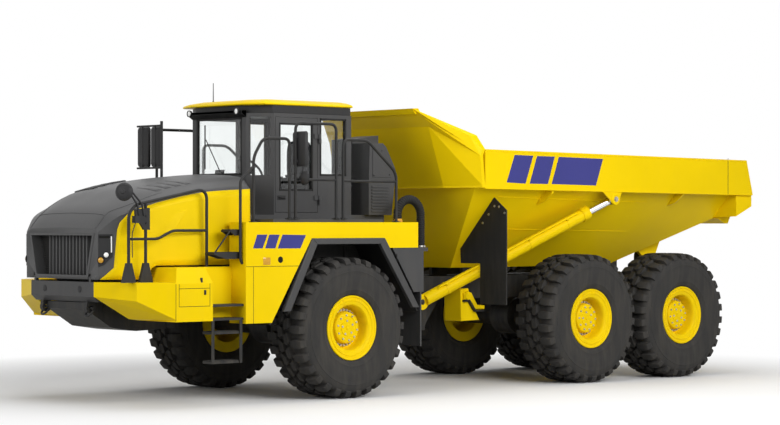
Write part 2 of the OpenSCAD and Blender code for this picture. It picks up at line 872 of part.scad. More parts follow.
module hitch_yoke() {
  color(black)
  translate([hitch_x, 0, hitch_z])
    difference() {
      union() {
        bar_z(0, 0, -hitch_block_h/2, hitch_block_h/2, block_r);
        bar_x(0, 0, -790, 0, shaft_r);
        both_sides()
          along_z(-130, -55 - swing_gap - 1, [[60, 0], [60, 110], [-steer_arm_x + 60, steer_arm_y + 60],
            [-steer_arm_x - 50, steer_arm_y + 60], [-steer_arm_x - 50, steer_arm_y - 60], [-150, 0]]);
      }
      bar_z(0, 0, -hitch_block_h/2 - 1, hitch_block_h/2 + 1, steer_pin_d/2 + pin_gap);
    }
}

module steer_barrel() {
  base = [hitch_x + steer_base_x, steer_base_y, hitch_z];
  eye = [hitch_x - steer_arm_x, steer_arm_y, hitch_z];
  color(yellow)
    difference() {
      union() {
        bar_z(base[0], base[1], hitch_z - 50, hitch_z + 50, 56);
        aim(base, eye)
          cylinder(h = 745, d = steer_barrel_d);
      }
      bar_z(base[0], base[1], hitch_z - 70, hitch_z + 70, 30 + pin_gap);
      aim(base, eye)
        translate([0, 0, 68])
          cylinder(h = 800, d = steer_rod_d + 2*seat_gap);
    }
}

module steer_rod() {
  base = [hitch_x + steer_base_x, steer_base_y, hitch_z];
  eye = [hitch_x - steer_arm_x, steer_arm_y, hitch_z];
  reach = norm(eye - base);
  color([0.8, 0.8, 0.8]) {
    aim(base, eye)
      translate([0, 0, reach - 780])
        cylinder(h = 780 - 30, d = steer_rod_d);
    bar_z(eye[0], eye[1], hitch_z - 56, hitch_z + 44, 52);
  }
}

module steer_barrel_left() {
  steer_barrel();
}

module steer_barrel_right() {
  right_side()
    steer_barrel();
}

module steer_rod_left() {
  steer_rod();
}

module steer_rod_right() {
  right_side()
    steer_rod();
}

// Rear chassis

module rear_chassis() {
  nose = hitch_x - mid_x - 420;
  hoist_r = 60;
  color(black)
  rear_unit()
    difference() {
      union() {
        bar_x(0, hitch_z, nose - 380, nose, 260);
        block([nose - 480, nose - 380], [-rear_rail_out, rear_rail_out], [hitch_z - 260, rear_rail_top_z]);
        both_sides() {
          block([-dump_back - 130, nose - 380], [rear_rail_in, rear_rail_out],
            [rear_rail_z, rear_rail_top_z]);
          along_y(rear_rail_in, rear_rail_out, [[-dump_back + 130, rear_rail_top_z],
            [-dump_back + 130, dump_z], [-dump_back - 130, dump_z], [-dump_back - 130, rear_rail_top_z]]);
          bar_y(-dump_back, dump_z, rear_rail_in, rear_rail_out, 130);
          along_y(rear_rail_in, rear_rail_out, [[nose - 470, rear_rail_z + 10], [nose - 470, hitch_z - 200],
            [nose - 700, rear_rail_z - 60], [nose - 700, rear_rail_z + 10]]);
          block([hoist_base_x - 90, hoist_base_x + 90], [150, hoist_base_y - 90], [1160, 1260]);
          bar_y(hoist_base_x, hoist_base_z, hoist_base_y - 91, hoist_base_y, 28);
          translate([hoist_base_x, hoist_base_y, hoist_base_z])
            sphere(r = hoist_r);
        }
        for (x = [-dump_back - 65, -tandem/2, 800])
          block([x - 60, x + 60], [-rear_rail_in, rear_rail_in], [rear_rail_z + 40, rear_rail_top_z - 40]);
        for (x = [1200, -1200])
          both_sides()
            block([x - 150, x + 150], [rear_rail_in, rear_rail_in + 60],
              [rear_rail_top_z, bed_floor_z - swing_gap]);
      }
      bar_x(0, hitch_z, nose - 374, nose + 1, shaft_r + pin_gap);
      both_sides()
        bar_y(-dump_back, dump_z, rear_rail_in - 1, rear_rail_out + 1, dump_pin_d/2 + pin_gap);
    }
}

module equalizer_beams() {
  low = axle_z + axle_tube_d/2 + seat_gap;
  color(black)
  rear_unit()
    both_sides() {
      block([-tandem - 160, 160], [540, 680], [low, low + 130]);
      block([-tandem/2 - 150, -tandem/2 + 150], [rear_rail_out, 680], [low + 130, rear_rail_z + 150]);
    }
}

module tow_pin() {
  color(black)
  rear_unit()
    difference() {
      union() {
        block([-dump_back - 330, -dump_back - 125], [-100, 100], [1290, 1360]);
        bar_z(-dump_back - 330, 0, 1290, 1360, 100);
      }
      bar_z(-dump_back - 340, 0, 1280, 1370, 40);
    }
}

// Bed

wall_t = 1.3*bed_t;
bed_outline = [[bed_foot, bed_floor_z], [bed_ledge, rail_z], [-rail_tail - 60, rail_z],
  [-bed_tail, floor_z(-bed_tail)], [-ramp_start, bed_floor_z]];
bed_inside = [[-wall_y(bed_floor_z) + wall_t, bed_floor_z], [wall_y(bed_floor_z) - wall_t, bed_floor_z],
  [wall_top_y - wall_t, rail_z], [-wall_top_y + wall_t, rail_z]];

// Solid around points
module wrap(points) {
  hull()
    polyhedron(points, [for (i = [0 : len(points) - 3]) [i, i + 1, i + 2]]);
}

module bed_sides() {
  pillar_x = -bed_tail + 370;
  pillar_y = bed_y - 50;
  color(yellow)
  rear_unit() {
    both_sides() {
      intersection() {
        along_x(-bed_tail - 10, bed_ledge + 10, [[wall_y(bed_floor_z), bed_floor_z], [wall_top_y, rail_z],
          [wall_top_y - wall_t, rail_z], [wall_y(bed_floor_z) - wall_t, bed_floor_z]]);
        along_y(0, bed_y, bed_outline);
      }
      along_y(bed_y - rail_w, bed_y, [[rail_front, rail_z - 8], [rail_front, rail_top_z],
        [-rail_tail + 60, rail_top_z - rail_drop], [-rail_tail - 90, rail_z - rail_drop]]);
      block([-hoist_eye_x - 170, -hoist_eye_x - 95], [bed_y - rail_w, hoist_eye_y - 60],
        [hoist_eye_z - 60, rail_z]);
      wrap([[pillar_x, wall_top_y - 30, rail_z - 20], [pillar_x, pillar_y, rail_z - 20],
        [pillar_x, pillar_y, floor_z(pillar_x) + 30],
        [pillar_x, wall_y(floor_z(pillar_x)) - 30, floor_z(pillar_x) + 12],
        [-bed_tail, wall_top_y - 30, rail_z - rail_drop + 8], [-bed_tail, pillar_y, rail_z - rail_drop + 8],
        [-bed_tail, pillar_y, floor_z(-bed_tail) + 30],
        [-bed_tail, wall_y(floor_z(-bed_tail)) - 30, floor_z(-bed_tail) + 12]]);
    }
    along_y(-1180, 1180, [[pillar_x, floor_z(pillar_x) - seat_gap], [-bed_tail, floor_z(-bed_tail) - seat_gap],
      [-bed_tail + 130, 2320], [-bed_tail + 200, 2320]]);
  }
}

module bed_floor() {
  slab = bed_t/cos(ramp_angle);
  color(yellow)
  rear_unit() {
    intersection() {
      along_x(-bed_tail - 10, bed_ledge + 10, bed_inside);
      along_y(-bed_y, bed_y, [[bed_foot, bed_floor_z], [front_face(bed_floor_z + bed_t), bed_floor_z + bed_t],
        [-ramp_start + (slab - bed_t)/ramp, bed_floor_z + bed_t], [-bed_tail, floor_z(-bed_tail) + slab],
        [-bed_tail, floor_z(-bed_tail)], [-ramp_start, bed_floor_z]]);
    }
    both_sides() {
      along_y(rear_rail_out + swing_gap, rear_rail_out + swing_gap + 64, [[-dump_back + 285,
        floor_z(-dump_back + 285)], [-dump_back - 315, floor_z(-dump_back - 315)],
        [-dump_back - 130, dump_z], [-dump_back + 130, dump_z]]);
      bar_y(-dump_back, dump_z, rear_rail_out + swing_gap, rear_rail_out + swing_gap + 64, 130);
      bar_y(-dump_back, dump_z, rear_rail_in, rear_rail_out + swing_gap + 1, dump_pin_d/2);
    }
  }
}

// Sheet between points, as thick along X as the bed's walls
module sheet(points) {
  wrap(concat(points, [for (p = points) p - [1.1*bed_t, 0, 0]]));
}

// Points with the same points on the right
function with_right(points) = concat(points, [for (p = points) [p[0], -p[1], p[2]]]);

module bed_front() {
  foot = bed_floor_z + bed_t;
  top = rail_z + 30;
  lip_x = bed_ledge + 170;
  // Foot, bend, brow and lip of the headboard, then the wing's corners from the rail up
  a = [lip_x, 1000, top - 1];
  b = [lip_x + 290, 1000, rail_top_z + 318];
  c = [lip_x + 475, 1000, rail_top_z + 480];
  d = [lip_x + 590, 1000, rail_top_z + 565];
  e = [rail_front + 75, 1500, rail_top_z + 195];
  f = [rail_front + 200, 1490, rail_top_z + 185];
  h = [rail_front + 2 + 1.1*bed_t, bed_y, top - 1];
  i = [rail_front + 100, bed_y, rail_top_z - 90];
  k = [rail_front + 2 + 1.1*bed_t, bed_y, rail_top_z];
  color(yellow)
  rear_unit() {
    intersection() {
      along_x(0, bed_ledge + 10, bed_inside);
      along_y(-bed_y, bed_y, [[front_face(foot), foot], [bed_ledge, rail_z], [bed_ledge - bed_t, rail_z],
        [front_face(foot) - bed_t, foot]]);
    }
    along_z(rail_z, top, [[lip_x, -1000], [lip_x, 1000], [h[0], bed_y], [rail_front, bed_y],
      [rail_front, 1400], [bed_ledge - bed_t, 1400], [bed_ledge - bed_t, -1400], [rail_front, -1400],
      [rail_front, -bed_y], [h[0], -bed_y]]);
    sheet(with_right([a, b]));
    sheet(with_right([b, c]));
    along_y(-1000, 1000, [[c[0], c[2]], [d[0] - 50, d[2] - 75], [d[0], d[2]], [d[0] - 110, d[2] + 5],
      [c[0] - 1.1*bed_t, c[2]]]);
    both_sides() {
      sheet([a, b, i, h]);
      sheet([b, c, f, i]);
      sheet([i, h, k]);
      sheet([i, f, k]);
      wrap([d, c, c - [1.1*bed_t, 0, 0], f, f - [0, 0, 40], k, k - [0, 0, 60], e, e - [0, 0, 60],
        [rail_front + 2, bed_y, rail_top_z]]);
    }
  }
}

module bed_flaps() {
  color(black)
  rear_unit()
    both_sides()
      along_x(1650, 1672, [[wall_y(2690) + 0.2, 2690], [1590, 2510], [1590, 1170], [1060, 1170],
        [1060, 1750], [660, 1750], [wall_y(1960) + 0.2, 1960]]);
}

// Hoist cylinders

hoist_base = [mid_x + hoist_base_x, hoist_base_y, hoist_base_z];
hoist_eye = [mid_x - hoist_eye_x, hoist_eye_y, hoist_eye_z];

module hoist_barrel() {
  color(yellow)
    difference() {
      union() {
        bar_y(hoist_base[0], hoist_base[2], hoist_base_y - 45, hoist_base_y + 45, 110);
        aim(hoist_base, hoist_eye)
          translate([0, 0, 75])
            cylinder(h = 2975, d = hoist_barrel_d);
        aim(hoist_base, hoist_eye)
          translate([0, 0, 2930])
            cylinder(h = 120, d = hoist_barrel_d + 24);
      }
      translate(hoist_base)
        sphere(r = 60 + pin_gap);
      aim(hoist_base, hoist_eye)
        translate([0, 0, 400])
          cylinder(h = 2800, d = hoist_rod_d + 2*seat_gap);
    }
}

module hoist_rod() {
  reach = norm(hoist_eye - hoist_base);
  color([0.8, 0.8, 0.8]) {
    aim(hoist_base, hoist_eye)
      translate([0, 0, reach - 2968])
        cylinder(h = 2968 - 40, d = hoist_rod_d);
    bar_y(hoist_eye[0], hoist_eye[2], hoist_eye_y - 50, hoist_eye_y + 50, 84);
  }
}

module hoist_barrel_left() {
  hoist_barrel();
}

module hoist_barrel_right() {
  right_side()
    hoist_barrel();
}

module hoist_rod_left() {
  hoist_rod();
}

module hoist_rod_right() {
  right_side()
    hoist_rod();
}

// Wheels, built with the outer side towards the left

module tyre() {
  r = tyre_d/2;
  in_r = seat_d/2 + seat_gap;
  half = seat_w/2 - seat_gap;
  rotate([-90, 0, 0])
    rotate_extrude()
      polygon([[in_r, -half], [flange_d/2 + 2, -half], [flange_d/2 + 45, -tyre_w/2 + 25],
        [flange_d/2 + 170, -tyre_w/2], [r - 180, -tyre_w/2 + 12], [r - 80, -tread_w/2 - 12],
        [r - 30, -tread_w/2], [r, -tread_w/2 + 25], [r, tread_w/2 - 25], [r - 30, tread_w/2],
        [r - 80, tread_w/2 + 12], [r - 180, tyre_w/2 - 12], [flange_d/2 + 170, tyre_w/2],
        [flange_d/2 + 45, tyre_w/2 - 25], [flange_d/2 + 2, half], [in_r, half]]);
}

module rim() {
  seat_r = seat_d/2;
  flange_r = flange_d/2;
  bore_r = spindle_r + pin_gap;
  half = seat_w/2;
  rotate([-90, 0, 0])
    rotate_extrude()
      polygon([[bore_r, -hub_in], [180, -hub_in], [180, 60], [seat_r - 28, 60], [seat_r - 28, -half - 18],
        [flange_r, -half - 18], [flange_r, -half], [seat_r, -half], [seat_r, half], [flange_r, half],
        [flange_r, half + 20], [flange_r - 20, half + 26], [seat_r - 8, half + 6], [seat_r - 28, half - 70],
        [seat_r - 28, 110], [hub_d/2, 110], [hub_d/2, 215], [hub_d/2 - 25, 235], [0, 235], [0, hub_in],
        [bore_r, hub_in]]);
}

module wheel_at(x, side) {
  translate([x, side*wheel_y, axle_z])
    mirror([0, side < 0 ? 1 : 0, 0])
      children();
}

module tyre_front_left() {
  color(black)
    wheel_at(front_axle_x, 1)
      tyre();
}

module rim_front_left() {
  color(yellow)
    wheel_at(front_axle_x, 1)
      rim();
}

module tyre_front_right() {
  color(black)
    wheel_at(front_axle_x, -1)
      tyre();
}

module rim_front_right() {
  color(yellow)
    wheel_at(front_axle_x, -1)
      rim();
}

module tyre_mid_left() {
  color(black)
    wheel_at(mid_x, 1)
      tyre();
}

module rim_mid_left() {
  color(yellow)
    wheel_at(mid_x, 1)
      rim();
}

module tyre_mid_right() {
  color(black)
    wheel_at(mid_x, -1)
      tyre();
}

module rim_mid_right() {
  color(yellow)
    wheel_at(mid_x, -1)
      rim();
}

module tyre_rear_left() {
  color(black)
    wheel_at(rear_x, 1)
      tyre();
}

module rim_rear_left() {
  color(yellow)
    wheel_at(rear_x, 1)
      rim();
}

module tyre_rear_right() {
  color(black)
    wheel_at(rear_x, -1)
      tyre();
}

module rim_rear_right() {
  color(yellow)
    wheel_at(rear_x, -1)
      rim();
}

front_chassis();
front_axle();
engine_block();
radiator();
bumper_middle();
tow_eyes();
bumper_wings();
side_boxes();
steps();
fenders();
arch_liners();
rear_tanks();
deck_floor();
cab_shell();
cab_glass();
cab_roof();
roof_lamps();
cab_fittings();
handrails();
mirrors();
exhaust_stack();
hose_arch();
hood_top();
hood_sides();
grille();
headlamps();
cab_door();
door_glass();
hitch_yoke();
rear_chassis();
rear_axles();
equalizer_beams();
tow_pin();
bed_floor();
bed_sides();
bed_front();
bed_flaps();
hoist_barrel_left();
hoist_barrel_right();
hoist_rod_left();
hoist_rod_right();
steer_barrel_left();
steer_barrel_right();
steer_rod_left();
steer_rod_right();
tyre_front_left();
tyre_front_right();
tyre_mid_left();
tyre_mid_right();
tyre_rear_left();
tyre_rear_right();
rim_front_left();
rim_front_right();
rim_mid_left();
rim_mid_right();
rim_rear_left();
rim_rear_right();
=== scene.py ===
import bpy
import bmesh
import json
import math
from mathutils import Matrix, Vector


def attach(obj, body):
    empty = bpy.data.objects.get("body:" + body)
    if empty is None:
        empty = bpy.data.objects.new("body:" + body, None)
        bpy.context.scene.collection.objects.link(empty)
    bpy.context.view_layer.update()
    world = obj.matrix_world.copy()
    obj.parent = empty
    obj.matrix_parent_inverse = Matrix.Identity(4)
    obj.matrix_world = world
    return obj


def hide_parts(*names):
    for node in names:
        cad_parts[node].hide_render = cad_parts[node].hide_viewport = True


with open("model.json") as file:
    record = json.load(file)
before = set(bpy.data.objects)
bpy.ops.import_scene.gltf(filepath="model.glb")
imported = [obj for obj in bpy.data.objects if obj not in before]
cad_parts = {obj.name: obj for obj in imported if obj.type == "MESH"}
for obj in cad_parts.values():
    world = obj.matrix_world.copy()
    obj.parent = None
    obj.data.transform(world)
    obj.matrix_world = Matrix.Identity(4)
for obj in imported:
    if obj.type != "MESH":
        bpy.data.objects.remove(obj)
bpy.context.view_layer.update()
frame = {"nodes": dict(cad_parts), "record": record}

# Places that many pieces share, in metres
FRONT_X = 2.440
MID_X = FRONT_X - 4.615
REAR_X = MID_X - 1.987
AXLE_Z = 0.9375
WHEEL_Y = 1.345
FLANK_Y = 1.600
SIDES = (("left", 1), ("right", -1))


def show(thing):
    bpy.context.scene.collection.objects.link(thing)


def place_camera():
    yaw, pitch = math.radians(228.2315), math.radians(0.2355)
    look = Vector((math.cos(yaw) * math.cos(pitch), math.sin(yaw) * math.cos(pitch), math.sin(pitch)))
    lens = bpy.data.cameras.new("photo_camera")
    lens.sensor_width = 36
    lens.lens = 109.34
    lens.clip_end = 300
    camera = bpy.data.objects.new("photo_camera", lens)
    camera.location = (FRONT_X + 20.5718, 25.4567, 2.3403)
    camera.rotation_euler = look.to_track_quat("-Z", "Y").to_euler()
    show(camera)
    bpy.context.scene.camera = camera


place_camera()


# Finishes

COLOUR = "NodeSocketColor"
NUMBER = "NodeSocketFloat"


def wire(tree, a, b):
    tree.links.new(a, b)


def add(tree, kind, **values):
    node = tree.nodes.new(kind)
    for key, value in values.items():
        setattr(node, key, value)
    return node


def feed(tree, socket, value):
    """Sets a socket to a number or a colour, or joins another socket to it."""
    if isinstance(value, tuple):
        socket.default_value = (*value, 1)
    elif isinstance(value, (int, float)):
        socket.default_value = value
    else:
        wire(tree, value, socket)


def noise(tree, where, scale, detail, rough):
    node = add(tree, "ShaderNodeTexNoise")
    feed(tree, node.inputs["Scale"], scale)
    node.inputs["Detail"].default_value = detail
    node.inputs["Roughness"].default_value = rough
    wire(tree, where, node.inputs["Vector"])
    return node.outputs["Fac"]


def spread(tree, value, low, high, to_low, to_high):
    node = add(tree, "ShaderNodeMapRange")
    for name, number in (("From Min", low), ("From Max", high), ("To Min", to_low), ("To Max", to_high)):
        node.inputs[name].default_value = number
    wire(tree, value, node.inputs["Value"])
    return node.outputs["Result"]


def maths(tree, job, a, b):
    node = add(tree, "ShaderNodeMath", operation=job)
    feed(tree, node.inputs[0], a)
    feed(tree, node.inputs[1], b)
    return node.outputs[0]


def blend_colour(tree, job, amount, a, b):
    node = add(tree, "ShaderNodeMix", data_type="RGBA", blend_type=job)
    for place, value in ((0, amount), (6, a), (7, b)):
        feed(tree, node.inputs[place], value)
    return node.outputs[2]


def new_group(name, inputs):
    """An empty group with the given inputs; puts out a colour, a roughness and a height."""
    tree = bpy.data.node_groups.new(name, "ShaderNodeTree")
    for label, value in inputs.items():
        tinted = isinstance(value, tuple)
        socket = tree.interface.new_socket(label, in_out="INPUT", socket_type=COLOUR if tinted else NUMBER)
        socket.default_value = (*value, 1) if tinted else value
    for label, kind in (("Color", COLOUR), ("Roughness", NUMBER), ("Height", NUMBER)):
        tree.interface.new_socket(label, in_out="OUTPUT", socket_type=kind)
    return tree, add(tree, "NodeGroupInput").outputs, add(tree, "NodeGroupOutput").inputs


def make_site_skin():
    """Paint, plastic or rubber that has stood on a site: uneven tone, fine grain, dust low and in streaks."""
    tree, given, out = new_group("site_skin", {
        "Color": (0.5, 0.5, 0.5), "Dust Color": (0.3, 0.26, 0.2), "Dust": 0.2, "Tone": 0.06, "Roughness": 0.4,
        "Grain Scale": 120.0})
    place = add(tree, "ShaderNodeTexCoord").outputs["Object"]
    stretch = add(tree, "ShaderNodeMapping")
    stretch.inputs["Scale"].default_value = (5.0, 5.0, 0.8)
    wire(tree, place, stretch.inputs["Vector"])
    broad = noise(tree, place, 1.1, 4.0, 0.55)
    streak = noise(tree, stretch.outputs["Vector"], 1.6, 5.0, 0.6)
    grain = noise(tree, place, given["Grain Scale"], 2.0, 0.5)
    axes = add(tree, "ShaderNodeSeparateXYZ")
    wire(tree, place, axes.inputs[0])
    low = spread(tree, axes.outputs["Z"], 0.2, 2.0, 1.0, 0.22)
    tone = maths(tree, "MULTIPLY", spread(tree, broad, 0.3, 0.7, -1.0, 1.0), given["Tone"])
    lit = blend_colour(tree, "MULTIPLY", 1.0, given["Color"], maths(tree, "ADD", tone, 1.0))
    film = maths(tree, "MULTIPLY", spread(tree, streak, 0.42, 0.72, 0.0, 1.0), low)
    film = maths(tree, "MULTIPLY", film, given["Dust"])
    wire(tree, blend_colour(tree, "MIX", film, lit, given["Dust Color"]), out["Color"])
    rough = maths(tree, "ADD", given["Roughness"], maths(tree, "MULTIPLY", film, 0.35))
    rough = maths(tree, "ADD", rough, spread(tree, broad, 0.3, 0.7, -0.04, 0.04))
    wire(tree, rough, out["Roughness"])
    wire(tree, grain, out["Height"])
    return tree


def make_worked_metal():
    """Bare metal with a fine grain and a few darker smears."""
    tree, given, out = new_group("worked_metal", {
        "Color": (0.6, 0.6, 0.6), "Smear Color": (0.1, 0.09, 0.08), "Smear": 0.3, "Roughness": 0.25,
        "Grain Scale": 60.0})
    place = add(tree, "ShaderNodeTexCoord").outputs["Object"]
    patch = noise(tree, place, 7.0, 5.0, 0.55)
    grain = noise(tree, place, given["Grain Scale"], 3.0, 0.5)
    smear = maths(tree, "MULTIPLY", spread(tree, patch, 0.5, 0.75, 0.0, 1.0), given["Smear"])
    wire(tree, blend_colour(tree, "MIX", smear, given["Color"], given["Smear Color"]), out["Color"])
    rough = maths(tree, "ADD", given["Roughness"], maths(tree, "MULTIPLY", smear, 0.4))
    wire(tree, rough, out["Roughness"])
    wire(tree, grain, out["Height"])
    return tree


SITE_SKIN = make_site_skin()
WORKED_METAL = make_worked_metal()


def finish(name, group, bump, depth, settings, **shader):
    """A material whose colour, roughness and fine relief come from a shared group."""
    material = bpy.data.materials.new(name)
    material.use_nodes = True
    tree = material.node_tree
    surface = tree.nodes["Principled BSDF"].inputs
    skin = add(tree, "ShaderNodeGroup", node_tree=group)
    for label, value in settings.items():
        feed(tree, skin.inputs[label], value)
    wire(tree, skin.outputs["Color"], surface["Base Color"])
    wire(tree, skin.outputs["Roughness"], surface["Roughness"])
    if bump:
        ridge = add(tree, "ShaderNodeBump")
        ridge.inputs["Strength"].default_value = bump
        ridge.inputs["Distance"].default_value = depth
        wire(tree, skin.outputs["Height"], ridge.inputs["Height"])
        wire(tree, ridge.outputs["Normal"], surface["Normal"])
    for label, value in shader.items():
        feed(tree, surface[label.replace("_", " ")], value)
    return material


def painted(name, colour, rough, dust=0.1, tone=0.04, grain=260.0, bump=0.05, depth=0.002, **shader):
    shader.setdefault("Specular_IOR_Level", 0.2)
    settings = {"Color": colour, "Roughness": rough, "Dust": dust, "Tone": tone, "Grain Scale": grain}
    return finish(name, SITE_SKIN, bump, depth, settings, **shader)


def bare_metal(name, colour, rough, smear):
    settings = {"Color": colour, "Roughness": rough, "Smear": smear}
    return finish(name, WORKED_METAL, bump=0.03, depth=0.001, settings=settings, Metallic=1.0)


YELLOW = painted("yellow_paint", (0.88, 0.618, 0.002), 0.40, dust=0.04, tone=0.03, Specular_IOR_Level=0.05,
                 Coat_Weight=0.01, Coat_Roughness=0.2)
GRAY = painted("gray_paint", (0.058, 0.058, 0.059), 0.46, tone=0.06, grain=380.0, bump=0.12)
# A lighter copy of the gray paint: painted highlight for the light that falls on the hood's top from above.
# The grille's frame and bars take it too.
LIT_HOOD_GRAY = painted("hood_gray", (0.080, 0.080, 0.081), 0.42, dust=0.08, tone=0.05, grain=380.0, bump=0.10)
BLACK = painted("black_paint", (0.020, 0.020, 0.020), 0.5, dust=0.16, tone=0.1, grain=300.0, bump=0.12)
TYRE = painted("tyre_rubber", (0.034, 0.033, 0.032), 0.82, dust=0.08, tone=0.12, grain=90.0, bump=0.35,
               depth=0.004)
FLAP = painted("flap_rubber", (0.016, 0.016, 0.016), 0.7, dust=0.12, tone=0.15, grain=160.0, bump=0.25,
               depth=0.003)
MOULDED = painted("moulded_plastic", (0.024, 0.024, 0.025), 0.52, dust=0.06, tone=0.08, grain=520.0, bump=0.2)
MACHINERY = painted("engine_paint", (0.11, 0.11, 0.11), 0.55, dust=0.3, tone=0.18, grain=60.0, bump=0.3,
                    depth=0.004)
# Near-black for panel gaps, seams, slots and lamp rings. It is also painted shade: the flat disc that stands
# for the inside of the round recess on each flank.
SEAM_AND_SHADE = painted("gap_and_shade_dark", (0.010, 0.010, 0.009), 0.9, dust=0.0, tone=0.1)
STRIPE = painted("blue_stripe", (0.034, 0.036, 0.21), 0.36, dust=0.04, tone=0.03, Coat_Weight=0.2)
CLOTH = painted("seat_cloth", (0.035, 0.036, 0.040), 0.92, dust=0.0, tone=0.14, grain=900.0, bump=0.6)
CHROME = bare_metal("rod_chrome", (0.83, 0.83, 0.84), 0.10, 0.08)
STEEL = bare_metal("bolt_steel", (0.46, 0.45, 0.43), 0.38, 0.35)
MIRROR = bare_metal("mirror_glass", (0.88, 0.89, 0.90), 0.03, 0.03)
CLEAR = painted("lamp_lens", (0.90, 0.90, 0.88), 0.10, dust=0.0, tone=0.02, grain=70.0, bump=0.4, depth=0.004,
                Coat_Weight=0.6, Emission_Color=(0.9, 0.9, 0.86), Emission_Strength=0.12)
AMBER = painted("amber_lens", (0.60, 0.30, 0.010), 0.24, dust=0.0, tone=0.03, grain=90.0, bump=0.4,
                depth=0.003, Coat_Weight=0.6)
GLASS = painted("window_glass", (0.95, 0.97, 0.965), 0.015, dust=0.0, tone=0.02, bump=0.0,
                Transmission_Weight=1.0, IOR=1.42, Specular_IOR_Level=0.5)

# The finish of each slot on the solids
NODE_FINISH = {
    "yellow_paint": YELLOW, "hood_yellow": YELLOW, "rim_paint": YELLOW, "cylinder_paint": YELLOW,
    # The hood_gray slot takes the lighter gray, which holds painted highlight.
    "gray_paint": GRAY, "hood_gray": LIT_HOOD_GRAY, "black_steel": BLACK, "tyre": TYRE, "window_glass": GLASS,
    "rod_chrome": CHROME, "black_rubber": FLAP, "black_plastic": MOULDED, "lamp": CLEAR,
    "machinery": MACHINERY}

for entry in frame["record"]["subparts"]:
    mesh = frame["nodes"][entry["node"]].data
    mesh.materials.clear()
    mesh.materials.append(NODE_FINISH[entry["material_slot"]])


# Forms

def turns(count, start=0.0):
    """Angles that part a full circle evenly."""
    return [2 * math.pi * (i + start) / count for i in range(count)]


def upright(direction):
    """Two directions square to the given one."""
    along = Vector(direction).normalized()
    helper = Vector((0, 0, 1)) if abs(along.z) < 0.9 else Vector((1, 0, 0))
    side = along.cross(helper).normalized()
    return side, side.cross(along).normalized()


def ring(centre, u, v, r, count):
    """Points on a circle in the plane of two directions."""
    return [centre + (u * math.cos(t) + v * math.sin(t)) * r for t in turns(count)]


def rounded(points, reach, steps=5):
    """The points with each inner corner turned into a bend that starts reach before the corner."""
    points = [Vector(p) for p in points]
    path = [points[0]]
    for before, here, after in zip(points, points[1:], points[2:]):
        a = here + (before - here).normalized() * min(reach, (before - here).length * 0.48)
        b = here + (after - here).normalized() * min(reach, (after - here).length * 0.48)
        path += [a.lerp(here, s).lerp(here.lerp(b, s), s) for s in (i / steps for i in range(steps + 1))]
    return path + [points[-1]]


